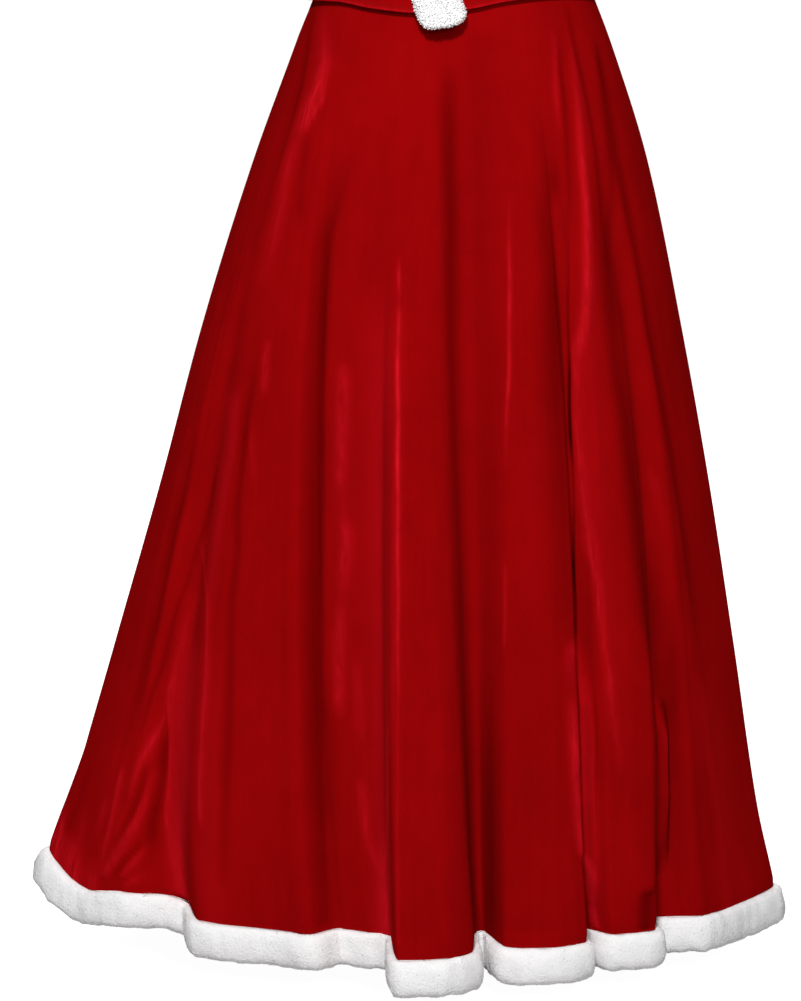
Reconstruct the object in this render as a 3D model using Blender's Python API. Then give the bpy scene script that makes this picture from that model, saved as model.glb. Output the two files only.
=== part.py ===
"""Long red velvet Christmas dress with white plush trim, hollow and in its worn pose.

Metres, +Z up. The origin lies between the two shoulder seams, where the wearer's shoulders
carry the dress, and the front faces -Y. Angles run round the waist: 0 is centre front,
-90 the wearer's right side, +90 the left side and 180 centre back.
"""

import math

import bmesh
import bpy
from mathutils import Vector

# Cloth and seams
WALL = 0.002
SEAM_GAP = 0.0003
SEAT_GAP = 0.0005

# Heights, as drops below the waist
WAIST_Z = -0.400
SKIRT_TOP_DROP = 0.050
HEM_DROP = 0.990
UNDERARM_DROP = -0.200
FRONT_NECK_DROP = -0.295
BACK_NECK_DROP = -0.370
BODICE_FLARE = 0.0040
CENTRE_LEAN = -1.4
SHOULDER_ROUND = 0.110

# Plush trim
STRIP_HALF_WIDTH = 0.025
STRIP_THICKNESS = 0.011
STRIP_TIP = 0.0155

# Mesh steps
SKIRT_ROWS = 12
CLOTH_STEP = 0.026
BODICE_COLUMNS = 12
LOWER_ROWS = 8
NECK_ROW = 3
UPPER_ROWS = 9

# The form from the shoulders to the hem: how far the cloth reaches from the middle line to the
# left, right, front and back at each drop, where its sides lie in Y, and how square its front is.
SECTIONS = [
    dict(drop=-0.370, left=0.195, right=0.195, front=0.082, back=0.074, middle=0.000, square=2.0),
    dict(drop=-0.295, left=0.175, right=0.175, front=0.101, back=0.092, middle=0.000, square=2.0),
    dict(drop=-0.200, left=0.157, right=0.157, front=0.124, back=0.100, middle=0.000, square=2.1),
    dict(drop=-0.150, left=0.155, right=0.157, front=0.133, back=0.098, middle=0.000, square=2.2),
    dict(drop=-0.080, left=0.136, right=0.144, front=0.114, back=0.091, middle=0.000, square=2.1),
    dict(drop=0.000, left=0.118, right=0.136, front=0.100, back=0.090, middle=0.000, square=2.1),
    dict(drop=0.050, left=0.124, right=0.149, front=0.110, back=0.106, middle=0.000, square=2.1),
    dict(drop=0.114, left=0.147, right=0.173, front=0.126, back=0.129, middle=0.000, square=2.1),
    dict(drop=0.236, left=0.192, right=0.212, front=0.150, back=0.158, middle=-0.002, square=2.0),
    dict(drop=0.400, left=0.244, right=0.247, front=0.178, back=0.188, middle=-0.006, square=1.9),
    dict(drop=0.566, left=0.289, right=0.278, front=0.207, back=0.217, middle=-0.012, square=1.8),
    dict(drop=0.735, left=0.338, right=0.305, front=0.235, back=0.248, middle=-0.019, square=1.7),
    dict(drop=0.905, left=0.386, right=0.331, front=0.260, back=0.280, middle=-0.026, square=1.7),
    dict(drop=0.990, left=0.404, right=0.350, front=0.272, back=0.298, middle=-0.030, square=1.7),
    dict(drop=1.030, left=0.414, right=0.357, front=0.277, back=0.306, middle=-0.031, square=1.7),
]

# The fold lines round the skirt, each a crest, an edge or the bottom of a valley. It runs from
# angle top at the waist to angle hem, stands out from the plain form by out (mm, at the hem),
# raises the hem by lift (mm), and grows from the share begins of the skirt's length.
FOLD_LINES = [
    dict(name="right_side", top=-90.0, hem=-90.0, out=13, lift=42, begins=0.88),
    dict(name="foot_valley", top=-76.0, hem=-67.7, out=-15, lift=13, begins=0.40),
    dict(name="foot_crest", top=-69.0, hem=-58.0, out=-22, lift=18, begins=0.45),
    dict(name="foot_panel_edge", top=-65.0, hem=-51.5, out=-48, lift=17, begins=0.35),
    dict(name="side_valley", top=-61.0, hem=-47.5, out=-62, lift=10, begins=0.30),
    dict(name="side_panel_left", top=-56.0, hem=-40.0, out=-33, lift=2, begins=0.30),
    dict(name="side_panel_right", top=-48.0, hem=-27.0, out=-44, lift=0, begins=0.28),
    dict(name="side_panel_crest", top=-44.0, hem=-21.0, out=-40, lift=0, begins=0.24),
    dict(name="front_left_valley", top=-41.0, hem=-17.5, out=-68, lift=1, begins=0.12),
    dict(name="front_left_crest", top=-30.0, hem=-12.8, out=-65, lift=0, begins=0.16),
    dict(name="centre_left_valley", top=-17.5, hem=-9.2, out=-63, lift=0, begins=0.22),
    dict(name="centre_crease", top=-13.5, hem=-6.0, out=7, lift=-8, begins=0.20),
    dict(name="centre_face", top=-8.0, hem=-2.0, out=2, lift=-8, begins=0.20),
    dict(name="centre_right_edge", top=-1.0, hem=5.8, out=-26, lift=-8, begins=0.10),
    dict(name="centre_valley_left", top=0.5, hem=7.7, out=-78, lift=-3, begins=0.05),
    dict(name="centre_valley_right", top=3.5, hem=9.7, out=-84, lift=-2, begins=0.05),
    dict(name="middle_panel_left", top=18.5, hem=11.2, out=-30, lift=-5, begins=0.16),
    dict(name="middle_panel_face", top=26.0, hem=19.0, out=-11, lift=-5, begins=0.16),
    dict(name="middle_panel_right", top=29.5, hem=25.6, out=-18, lift=-5, begins=0.10),
    dict(name="left_hip_valley", top=32.5, hem=27.8, out=-56, lift=0, begins=0.02),
    dict(name="left_hip_ridge", top=41.0, hem=30.4, out=-14, lift=0, begins=0.02),
    dict(name="left_hip_panel", top=46.0, hem=38.0, out=-6, lift=0, begins=0.06),
    dict(name="left_thigh_valley", top=52.0, hem=43.5, out=-42, lift=1, begins=0.04),
    dict(name="left_thigh_panel", top=60.0, hem=53.5, out=-18, lift=0, begins=0.08),
    dict(name="left_side_valley", top=68.0, hem=65.0, out=-18, lift=0, begins=0.10),
    dict(name="left_side", top=90.0, hem=90.0, out=0, lift=2, begins=0.10),
    dict(name="back_valley_1", top=103.0, hem=101.0, out=-34, lift=0, begins=0.22),
    dict(name="back_crest_1", top=112.0, hem=112.0, out=5, lift=-3, begins=0.22),
    dict(name="back_valley_2", top=120.0, hem=122.0, out=-40, lift=0, begins=0.12),
    dict(name="back_crest_2", top=131.0, hem=134.0, out=6, lift=-4, begins=0.18),
    dict(name="back_valley_3", top=142.0, hem=146.0, out=-52, lift=0, begins=0.08),
    dict(name="back_crest_3", top=154.0, hem=158.0, out=2, lift=-4, begins=0.14),
    dict(name="back_valley_4", top=167.0, hem=169.0, out=-38, lift=0, begins=0.20),
    dict(name="back_crest_4", top=182.0, hem=181.0, out=9, lift=-5, begins=0.14),
    dict(name="back_valley_5", top=196.0, hem=193.0, out=-55, lift=0, begins=0.06),
    dict(name="back_crest_5", top=206.0, hem=205.0, out=3, lift=-4, begins=0.12),
    dict(name="back_valley_6", top=217.0, hem=217.0, out=-36, lift=0, begins=0.20),
    dict(name="back_crest_6", top=228.0, hem=229.0, out=7, lift=-3, begins=0.20),
    dict(name="back_valley_7", top=239.0, hem=241.0, out=-42, lift=4, begins=0.12),
    dict(name="back_crest_7", top=250.0, hem=252.0, out=2, lift=12, begins=0.22),
    dict(name="back_valley_8", top=261.0, hem=262.0, out=-16, lift=27, begins=0.40),
]
FOLD_GROWTH = 1.35

# The hem band's section, out from the cloth's middle line and down from the band's top, in mm
BAND_SECTION = [
    dict(out=-2.5, down=0.0),
    dict(out=4.0, down=0.0),
    dict(out=7.5, down=5.0),
    dict(out=9.0, down=16.0),
    dict(out=8.0, down=29.0),
    dict(out=4.0, down=37.0),
    dict(out=-2.0, down=37.0),
    dict(out=-5.0, down=29.0),
    dict(out=-5.5, down=10.0),
]

# The plush strip's section from its wearer's-right edge to its left edge, as shares of its
# half width and of its thickness
STRIP_SECTION = [
    dict(across=-1.0, thick=0.30),
    dict(across=-0.5, thick=0.88),
    dict(across=0.0, thick=1.00),
    dict(across=0.5, thick=0.88),
    dict(across=1.0, thick=0.30),
]

# The bodice's lower edge, from the wearer's right side across the front to the left side
BODICE_EDGE = [
    dict(across=-0.140, drop=0.0725),
    dict(across=-0.096, drop=0.0740),
    dict(across=-0.062, drop=0.0805),
    dict(across=-0.024, drop=0.0845),
    dict(across=0.004, drop=0.0840),
    dict(across=0.030, drop=0.0800),
    dict(across=0.058, drop=0.0740),
    dict(across=0.100, drop=0.0690),
    dict(across=0.165, drop=0.0660),
]

# Neck and armhole edges of one half as (x, z), each the handles of a curve up to the shoulder seam
NECK_END = (0.088, 0.0)
SHOULDER_END = (0.156, -0.022)
FRONT_NECK_HANDLES = [(0.050, -0.105), (0.088, -0.055)]
BACK_NECK_HANDLES = [(0.045, -0.030), (0.084, -0.014)]
FRONT_ARMHOLE_HANDLES = [(0.122, -0.192), (0.118, -0.090)]
BACK_ARMHOLE_HANDLES = [(0.134, -0.192), (0.130, -0.080)]

VELVET_RED = (0.30, 0.0, 0.004, 1.0)
PLUSH_WHITE = (0.86, 0.86, 0.88, 1.0)


def clear_scene():
    for obj in list(bpy.data.objects):
        bpy.data.objects.remove(obj)


def make_material(name, colour, roughness):
    material = bpy.data.materials.new(name)
    material.use_nodes = True
    shader = material.node_tree.nodes["Principled BSDF"]
    shader.inputs["Base Color"].default_value = colour
    shader.inputs["Roughness"].default_value = roughness
    shader.inputs["Metallic"].default_value = 0.0
    return material


def mix(a, b, share):
    return a + (b - a) * share


def ease(share):
    """A smooth rise from 0 to 1 that is level at both ends."""
    return share * share * (3 - 2 * share)


def read_table(rows, key, at, column):
    """A table's value between two rows, on a smooth curve that never swings past the rows."""
    at = min(max(at, rows[0][key]), rows[-1][key])
    i = max(k for k in range(len(rows) - 1) if rows[k][key] <= at + 1e-12)
    slopes = []
    for k in (i - 1, i, i + 1):
        k = min(max(k, 0), len(rows) - 2)
        slopes.append((rows[k + 1][column] - rows[k][column]) / (rows[k + 1][key] - rows[k][key]))
    before, here, after = slopes
    start = 2 * before * here / (before + here) if before * here > 0 else 0.0
    end = 2 * here * after / (here + after) if here * after > 0 else 0.0
    step = rows[i + 1][key] - rows[i][key]
    t = (at - rows[i][key]) / step
    bend = step * (start * t * (1 - t) ** 2 - end * t * t * (1 - t))
    return mix(rows[i][column], rows[i + 1][column], ease(t)) + bend


def section_at(drop):
    """The form's reaches at a drop."""
    columns = ("left", "right", "front", "back", "middle", "square")
    return {column: read_table(SECTIONS, "drop", drop, column) for column in columns}


def ring_point(section, angle):
    """A point of the plain form's ring, as (x, y), at an angle in degrees."""
    across = math.sin(math.radians(angle))
    reach = section["right"] if across > 0 else section["left"]
    if math.cos(math.radians(angle)) >= 0:
        depth = (1 - min(abs(across), 1.0) ** section["square"]) ** (1 / section["square"])
        return reach * across, section["middle"] - section["front"] * depth
    depth = math.sqrt(max(1 - across * across, 0.0))
    return reach * across, section["middle"] + section["back"] * depth


def ring_normal(section, angle):
    """The ring's outward direction, as (x, y)."""
    x0, y0 = ring_point(section, angle - 0.2)
    x1, y1 = ring_point(section, angle + 0.2)
    along = math.hypot(x1 - x0, y1 - y0)
    return (y1 - y0) / along, -(x1 - x0) / along


def moved_out(drop, angle, out):
    """The form's point at a drop and angle, moved out level by a distance."""
    section = section_at(drop)
    x, y = ring_point(section, angle)
    nx, ny = ring_normal(section, angle)
    return Vector((x + nx * out, y + ny * out, WAIST_Z - drop))


# Skirt: columns lie on the fold lines and between them, and run from the waist to the hem.


def line_state(line, share):
    """A fold line's angle and stand-out at a share of the skirt's length."""
    grown = max(share - line["begins"], 0.0) / (1 - line["begins"])
    angle = mix(line["top"], line["hem"], share)
    return angle, line["out"] / 1000 * grown**FOLD_GROWTH


def skirt_columns():
    """Each column as (line before it, line after it, share between them), from the right side
    seam round the front to the left side seam, and on round the back."""
    closing = dict(FOLD_LINES[0], top=270.0, hem=270.0)
    lines = FOLD_LINES + [closing]
    columns = []
    for first, second in zip(lines, lines[1:]):
        a = moved_out(HEM_DROP, first["hem"], first["out"] / 1000)
        b = moved_out(HEM_DROP, second["hem"], second["out"] / 1000)
        parts = max(2, math.ceil((a - b).length / CLOTH_STEP))
        columns += [(first, second, k / parts) for k in range(parts)]
    return columns + [(closing, closing, 0.0)]


def skirt_point(column, share):
    """The skirt's outer point on a column, at a share of its length. Past 1 it is on the band."""
    first, second, between = column
    angle_a, out_a = line_state(first, share)
    angle_b, out_b = line_state(second, share)
    lift = mix(first["lift"], second["lift"], ease(between)) / 1000
    drop = SKIRT_TOP_DROP + (HEM_DROP - lift - SKIRT_TOP_DROP) * share
    out = mix(out_a, out_b, ease(between))
    return moved_out(drop, mix(angle_a, angle_b, between), out)


def cloth_wall(name, points, faces, seam, hem, material):
    """A closed wall from its outer points and faces: the inner points lie WALL further in, and
    the rim joins the two. The wall's edge is kept square to Y at a seam and level at the hem."""
    mesh = bpy.data.meshes.new(name)
    bm = bmesh.new()
    outer = [bm.verts.new(point) for point in points]
    for face in faces:
        bm.faces.new([outer[k] for k in face])
    bm.verts.index_update()
    bm.normal_update()
    rim = [edge.link_loops[0] for edge in bm.edges if edge.is_boundary]
    rim = [(loop.vert.index, loop.link_loop_next.vert.index) for loop in rim]
    inner = []
    for k, vert in enumerate(outer):
        normal = vert.normal.copy()
        if k in seam:
            normal.y = 0.0
        if k in hem:
            normal.z = 0.0
        inner.append(vert.co - normal.normalized() * WALL)
    inner = [bm.verts.new(point) for point in inner]
    for face in faces:
        bm.faces.new([inner[k] for k in reversed(face)])
    for a, b in rim:
        bm.faces.new((outer[b], outer[a], inner[a], inner[b]))
    bm.to_mesh(mesh)
    bm.free()
    return add_object(name, mesh, material)


def add_object(name, mesh, material):
    mesh.shade_smooth()
    mesh.set_sharp_from_angle(angle=math.radians(40))
    obj = bpy.data.objects.new(name, mesh)
    obj.data.materials.append(material)
    dress.objects.link(obj)
    return obj


def grid_faces(rows, columns, first=0):
    """Faces of a grid whose rows run down and whose columns run anticlockwise from above."""
    faces = []
    for j in range(rows - 1):
        for i in range(columns - 1):
            k = first + j * columns + i
            faces.append((k, k + columns, k + columns + 1, k + 1))
    return faces


def make_skirt_panel(name, columns, front, material):
    """One skirt panel, from side seam to side seam. Its seam edges stop half a gap short."""
    hem_stop = 1 - SEAM_GAP / (HEM_DROP - SKIRT_TOP_DROP)
    back_off = -SEAM_GAP / 2 if front else SEAM_GAP / 2
    points = []
    seam = set()
    hem = set()
    for j in range(SKIRT_ROWS + 1):
        share = hem_stop * j / SKIRT_ROWS
        for i, column in enumerate(columns):
            point = skirt_point(column, share)
            if i in (0, len(columns) - 1):
                seam.add(len(points))
                point.y += back_off
            if j == SKIRT_ROWS:
                hem.add(len(points))
            points.append(point)
    faces = grid_faces(SKIRT_ROWS + 1, len(columns))
    return cloth_wall(name, points, faces, seam, hem, material)


def bend_room(ring, i):
    """The largest outward move at a ring's point before the wall there would cross itself."""
    before = ring[i - 1]
    here = ring[i]
    after = ring[(i + 1) % len(ring)]
    a = here - before
    b = after - here
    turn = math.atan2(a.x * b.y - a.y * b.x, a.x * b.x + a.y * b.y)
    if turn >= 0:
        return math.inf
    return (a.length + b.length) / 2 / -turn


def make_hem_band(columns, material):
    """The plush band: one closed ring below the cloth's edge, following every fold."""
    ring_columns = columns[:-1]
    length = HEM_DROP - SKIRT_TOP_DROP
    rings = []
    for corner in BAND_SECTION:
        share = 1 + corner["down"] / 1000 / length
        ring = [skirt_point(column, share) for column in ring_columns]
        count = len(ring)
        wanted = corner["out"] / 1000
        moves = [min(wanted, 0.62 * bend_room(ring, i)) for i in range(count)]
        for _ in range(2):
            moves = [
                min(moves[i], (moves[i - 1] + moves[i] + moves[(i + 1) % count]) / 3)
                for i in range(count)
            ]
        moved = []
        for i, point in enumerate(ring):
            along = ring[(i + 1) % count] - ring[i - 1]
            normal = Vector((along.y, -along.x, 0.0)).normalized()
            middle = point - normal * (WALL / 2)
            moved.append(middle + normal * moves[i])
        rings.append(moved)
    count = len(ring_columns)
    points = [point for ring in rings for point in ring]
    faces = []
    for j in range(len(rings)):
        below = (j + 1) % len(rings)
        for i in range(count):
            right = (i + 1) % count
            faces.append((j * count + i, below * count + i, below * count + right, j * count + right))
    mesh = bpy.data.meshes.new("hem_fur_band")
    mesh.from_pydata([tuple(p) for p in points], [], faces)
    mesh.validate()
    return add_object("hem_fur_band", mesh, material)


# Bodice: each half is a grid of rows from its centre or neck edge out to its side or armhole.


def curve_point(start, handles, end, t):
    """A point of the plane curve from start to end with two handles."""
    a, b, c, d = (Vector(p) for p in (start, *handles, end))
    s = 1 - t
    return a * s**3 + b * 3 * s * s * t + c * 3 * s * t * t + d * t**3


def bodice_edge_drop(front, x):
    """The drop of the bodice's lower edge: a shallow point at the front, straight at the back."""
    if front:
        return read_table(BODICE_EDGE, "across", x, "drop")
    share = (x - BODICE_EDGE[0]["across"]) / (BODICE_EDGE[-1]["across"] - BODICE_EDGE[0]["across"])
    return mix(BODICE_EDGE[0]["drop"], BODICE_EDGE[-1]["drop"], share)


def over_skirt(drop):
    """How far the bodice lies outside the form: clear of the skirt, then flaring to its edge."""
    seat = ease(min(max(drop / SKIRT_TOP_DROP, 0.0), 1.0)) * (WALL + SEAT_GAP)
    past = max(drop - SKIRT_TOP_DROP, 0.0) / (bodice_edge_drop(True, 0.0) - SKIRT_TOP_DROP)
    return seat + BODICE_FLARE * past


def column_angle(k, reach):
    """The bodice's column angles: the first two lie under the plush strip, the rest are even."""
    strip = math.degrees(math.asin(STRIP_HALF_WIDTH / reach))
    if k <= 2:
        return strip * k / 2
    return mix(strip, 90.0, (k - 2) / (BODICE_COLUMNS - 2))


def side_reach(drop, half):
    section = section_at(drop)
    return section["right"] if half > 0 else section["left"]


def lower_bodice_point(front, half, k, row):
    """A point below the underarm. Row 0 is the lower edge, row 1 the line of the skirt's top."""
    drop = mix(SKIRT_TOP_DROP, UNDERARM_DROP, max(row - 1, 0) / (LOWER_ROWS - 1))
    share = (drop - UNDERARM_DROP) / (SKIRT_TOP_DROP - UNDERARM_DROP)
    angle = column_angle(k, side_reach(drop, half)) * half
    if front:
        angle += CENTRE_LEAN * share * (1 - k / BODICE_COLUMNS)
    if row == 0:
        x = side_reach(drop, half) * math.sin(math.radians(angle))
        drop = bodice_edge_drop(front, x)
    return moved_out(drop, angle if front else 180.0 - angle, over_skirt(drop))


def upper_bodice_point(front, half, k, row):
    """A point above the underarm. A row runs from the centre or neck edge to the armhole, and
    the cloth rounds over to the shoulder seam in the last SHOULDER_ROUND below it."""
    t = math.sin(math.radians(90) * row / UPPER_ROWS)
    neck_t = math.sin(math.radians(90) * NECK_ROW / UPPER_ROWS)
    neck_z = WAIST_Z - (FRONT_NECK_DROP if front else BACK_NECK_DROP)
    underarm_z = WAIST_Z - UNDERARM_DROP
    if row <= NECK_ROW:
        inner = Vector((0.0, mix(underarm_z, neck_z, t / neck_t)))
    else:
        handles = FRONT_NECK_HANDLES if front else BACK_NECK_HANDLES
        inner = curve_point((0.0, neck_z), handles, NECK_END, (t - neck_t) / (1 - neck_t))
    armhole = FRONT_ARMHOLE_HANDLES if front else BACK_ARMHOLE_HANDLES
    underarm = (side_reach(UNDERARM_DROP, half), underarm_z)
    outer = curve_point(underarm, armhole, SHOULDER_END, t)
    x, z = inner.lerp(outer, math.sin(math.radians(column_angle(k, outer.x))))
    section = section_at(WAIST_Z - z)
    turned = math.degrees(math.asin(min(x / section["right"], 1.0)))
    depth = ring_point(section, turned if front else 180 - turned)[1] - section["middle"]
    slope = (NECK_END[1] - SHOULDER_END[1]) / (SHOULDER_END[0] - NECK_END[0])
    below = NECK_END[1] - slope * (x - NECK_END[0]) - z
    rounded = 1 - min(max(below / SHOULDER_ROUND, 0.0), 1.0)
    y = section["middle"] + depth * math.sqrt(1 - rounded * rounded)
    return Vector((x * half, y, z))


def bodice_point(front, half, k, row):
    if row <= LOWER_ROWS:
        return lower_bodice_point(front, half, k, row)
    return upper_bodice_point(front, half, k, row - LOWER_ROWS)


def make_bodice_panel(name, front, material):
    """One bodice panel. Both halves share their centre points up to the neck."""
    last_row = LOWER_ROWS + UPPER_ROWS
    centre_rows = LOWER_ROWS + NECK_ROW
    back_off = -SEAM_GAP / 2 if front else SEAM_GAP / 2
    points = []
    number = {}
    seam = set()
    for row in range(last_row + 1):
        for half in (-1, 1):
            for k in range(BODICE_COLUMNS + 1):
                if k == 0 and half == 1 and row <= centre_rows:
                    number[row, half, k] = number[row, -1, 0]
                    continue
                point = bodice_point(front, half, k, row)
                on_side = k == BODICE_COLUMNS and row <= LOWER_ROWS
                if on_side or row == last_row:
                    seam.add(len(points))
                    point.y += back_off
                number[row, half, k] = len(points)
                points.append(point)
    faces = []
    for row in range(last_row):
        for half in (-1, 1):
            for k in range(BODICE_COLUMNS):
                face = [
                    number[row, half, k],
                    number[row, half, k + 1],
                    number[row + 1, half, k + 1],
                    number[row + 1, half, k],
                ]
                outward = (half > 0) == front
                faces.append(face if outward else face[::-1])
    return cloth_wall(name, points, faces, seam, set(), material)


def make_front_strip(material):
    """The plush strip down the centre front, laid on the bodice and hanging past its edge."""
    rows = []
    tip_rows = [dict(past=1.0, wide=0.78, thick=0.55), dict(past=0.55, wide=0.97, thick=0.95)]
    for tip in tip_rows:
        drop = bodice_edge_drop(True, 0.0) + STRIP_TIP * tip["past"]
        rows.append(("tip", drop, tip["wide"], tip["thick"]))
    for row in range(LOWER_ROWS + NECK_ROW + 1):
        rows.append(("bodice", row, 1.0, 1.0))
    rings = []
    for kind, at, wide, thick in rows:
        surface = []
        for k in (-2, -1, 0, 1, 2):
            half = 1 if k >= 0 else -1
            if kind == "bodice":
                surface.append(bodice_point(True, half, abs(k), at))
                continue
            angle = column_angle(abs(k), side_reach(at, half)) * half * wide + CENTRE_LEAN
            rise = (at - bodice_edge_drop(True, 0.0)) * 0.35 * (k / 2) ** 2
            surface.append(moved_out(at, angle, over_skirt(at)) + Vector((0.0, 0.0, rise)))
        back = []
        face = []
        for point, place in zip(surface, STRIP_SECTION):
            out = Vector((point.x, point.y * 1.6, 0.0)).normalized()
            back.append(point + out * SEAM_GAP)
            face.append(point + out * (SEAM_GAP + STRIP_THICKNESS * place["thick"] * thick))
        rings.append(back[::-1] + face)
    count = len(rings[0])
    points = [point for ring in rings for point in ring]
    faces = []
    for j in range(len(rings) - 1):
        for i in range(count):
            right = (i + 1) % count
            k = j * count
            faces.append((k + i, k + right, k + count + right, k + count + i))
    faces.append(tuple(range(count))[::-1])
    faces.append(tuple((len(rings) - 1) * count + i for i in range(count)))
    mesh = bpy.data.meshes.new("front_fur_strip")
    mesh.from_pydata([tuple(p) for p in points], [], faces)
    mesh.validate()
    return add_object("front_fur_strip", mesh, material)


clear_scene()
dress = bpy.data.collections.new("christmas_dress")
bpy.context.scene.collection.children.link(dress)
velvet = make_material("red_velvet", VELVET_RED, 0.55)
plush = make_material("white_plush", PLUSH_WHITE, 0.9)

all_columns = skirt_columns()
left_seam = next(i for i, column in enumerate(all_columns) if column[0]["name"] == "left_side")
make_skirt_panel("skirt_front", all_columns[: left_seam + 1], True, velvet)
make_skirt_panel("skirt_back", all_columns[left_seam:], False, velvet)
make_hem_band(all_columns, plush)
make_bodice_panel("bodice_front", True, velvet)
make_bodice_panel("bodice_back", False, velvet)
make_front_strip(plush)
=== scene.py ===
import math

import bpy
import numpy as np
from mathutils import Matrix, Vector
from mathutils.kdtree import KDTree


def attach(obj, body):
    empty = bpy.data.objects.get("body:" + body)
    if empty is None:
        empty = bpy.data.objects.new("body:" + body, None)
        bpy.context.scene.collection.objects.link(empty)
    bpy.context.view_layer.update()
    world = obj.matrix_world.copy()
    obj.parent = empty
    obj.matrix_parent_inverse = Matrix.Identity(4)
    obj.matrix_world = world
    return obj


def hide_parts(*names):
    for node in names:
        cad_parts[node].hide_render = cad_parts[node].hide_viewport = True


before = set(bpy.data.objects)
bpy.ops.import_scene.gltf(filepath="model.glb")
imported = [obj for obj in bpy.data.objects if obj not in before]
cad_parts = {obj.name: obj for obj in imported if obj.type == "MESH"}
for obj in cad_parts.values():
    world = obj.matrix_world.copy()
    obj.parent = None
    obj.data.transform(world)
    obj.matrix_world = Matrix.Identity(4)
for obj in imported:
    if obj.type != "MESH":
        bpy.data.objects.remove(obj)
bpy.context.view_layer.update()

# Camera and lights: the camera stands 4 m in front at hip height and looks slightly down. The
# main light is a soft box up on the left, and weaker ones keep the sides and the back readable.
CAMERA_PLACE = (-0.041, -4.0, -0.44)
CAMERA_TILT = 7.8
CAMERA_LENS = 140.0
SENSOR = 36.0
PICTURE_WIDTH = 801
PICTURE_HEIGHT = 1001
LIGHTS = [
    dict(name="main_light", place=(-0.40, -3.2, 2.3), aim=(0.0, 0.0, -0.75), size=0.6, watts=172),
    dict(name="front_light", place=(0.90, -4.2, 0.7), aim=(0.0, 0.0, -0.90), size=0.9, watts=32),
    dict(name="back_light", place=(0.0, 4.0, 1.6), aim=(0.0, 0.0, -0.80), size=1.6, watts=120),
]
AIR_LIGHT = 0.13

scene = bpy.context.scene
scene.view_settings.view_transform = "Standard"

camera = bpy.data.objects.new("camera", bpy.data.cameras.new("camera"))
camera.data.lens = CAMERA_LENS
camera.data.sensor_width = SENSOR
camera.data.clip_end = 400.0
camera.location = CAMERA_PLACE
camera.rotation_euler = (math.radians(90 - CAMERA_TILT), 0.0, 0.0)
scene.collection.objects.link(camera)
scene.camera = camera

for row in LIGHTS:
    light = bpy.data.objects.new(row["name"], bpy.data.lights.new(row["name"], "AREA"))
    light.data.size = row["size"]
    light.data.energy = row["watts"]
    light.location = row["place"]
    way = Vector(row["aim"]) - Vector(row["place"])
    light.rotation_euler = way.to_track_quat("-Z", "Y").to_euler()
    scene.collection.objects.link(light)

world = bpy.data.worlds.new("studio_air")
world.use_nodes = True
air = world.node_tree.nodes
seen = air.new("ShaderNodeLightPath")
level = air.new("ShaderNodeMapRange")
level.inputs["To Min"].default_value = AIR_LIGHT
level.inputs["To Max"].default_value = 1.0
air["Background"].inputs["Color"].default_value = (1.0, 1.0, 1.0, 1.0)
world.node_tree.links.new(seen.outputs["Is Camera Ray"], level.inputs["Value"])
world.node_tree.links.new(level.outputs["Result"], air["Background"].inputs["Strength"])
scene.world = world

# Floor: plain white vinyl on the studio's ground, just below the hem, glowing a little so that
# it runs on to white at the back. It isn't part of the dress.
FLOOR_Z = -1.456
FLOOR_REACH = 160.0
FLOOR_GLOW = 0.97


class Socket:
    """An output of a material's nodes. Arithmetic on it adds Math nodes."""

    def __init__(self, finish, link):
        self.finish = finish
        self.link = link

    def __add__(self, other):
        return self.finish.math("ADD", self, other)

    def __sub__(self, other):
        return self.finish.math("SUBTRACT", self, other)

    def __rsub__(self, other):
        return self.finish.math("SUBTRACT", other, self)

    def __mul__(self, other):
        return self.finish.math("MULTIPLY", self, other)

    __radd__ = __add__
    __rmul__ = __mul__


class Finish:
    """A material in the making. Its constants are set on the shader, and every other node
    comes from node()."""

    def __init__(self, name, **constants):
        self.material = bpy.data.materials.new(name)
        self.material.use_nodes = True
        self.tree = self.material.node_tree
        self.shader = self.tree.nodes["Principled BSDF"]
        for socket, value in constants.items():
            self.shader.inputs[socket.replace("_", " ")].default_value = value

    def put(self, socket, value):
        """Links a socket to a value from the nodes, or sets it to a constant."""
        if isinstance(value, Socket):
            self.tree.links.new(value.link, socket)
        else:
            socket.default_value = value

    def node(self, kind, settings, values, output=0):
        """A node of any kind: its settings first, then the values or links of its sockets."""
        node = self.tree.nodes.new(kind)
        for name, value in settings.items():
            if name == "stops":
                ramp = node.color_ramp.elements
                for _ in value[2:]:
                    ramp.new(0.5)
                for element, (place, grey) in zip(ramp, value):
                    element.position = place
                    element.color = (grey, grey, grey, 1.0)
            else:
                setattr(node, name, value)
        for name, value in values.items():
            self.put(node.inputs[name], value)
        return Socket(self, node.outputs[output])

    def math(self, operation, a, b):
        """A Math node on two values."""
        return self.node("ShaderNodeMath", {"operation": operation}, {0: a, 1: b})

    def noise(self, place, stretch, scale, detail):
        """Noise from 0 to 1 on a place that is first stretched."""
        stretched = self.node("ShaderNodeMapping", {}, {"Vector": place, "Scale": stretch})
        return self.node("ShaderNodeTexNoise", {}, {"Vector": stretched, "Scale": scale, "Detail": detail})

    def blend(self, factor, low, high):
        """A colour between two colours."""
        return self.node("ShaderNodeMix", {"data_type": "RGBA"}, {0: factor, 6: low, 7: high}, 2)

    def bump(self, height, distance, strength):
        """A bump from a height, for the shader's Normal."""
        values = {"Height": height, "Distance": distance, "Strength": strength}
        return self.node("ShaderNodeBump", {}, values)

    def finished(self, **links):
        """Fills the shader's sockets, and gives the material."""
        for socket, value in links.items():
            self.put(self.shader.inputs[socket.replace("_", " ")], value)
        return self.material


def new_object(name, mesh):
    """An object in the scene that shows a mesh."""
    obj = bpy.data.objects.new(name, mesh)
    scene.collection.objects.link(obj)
    return obj


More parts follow.
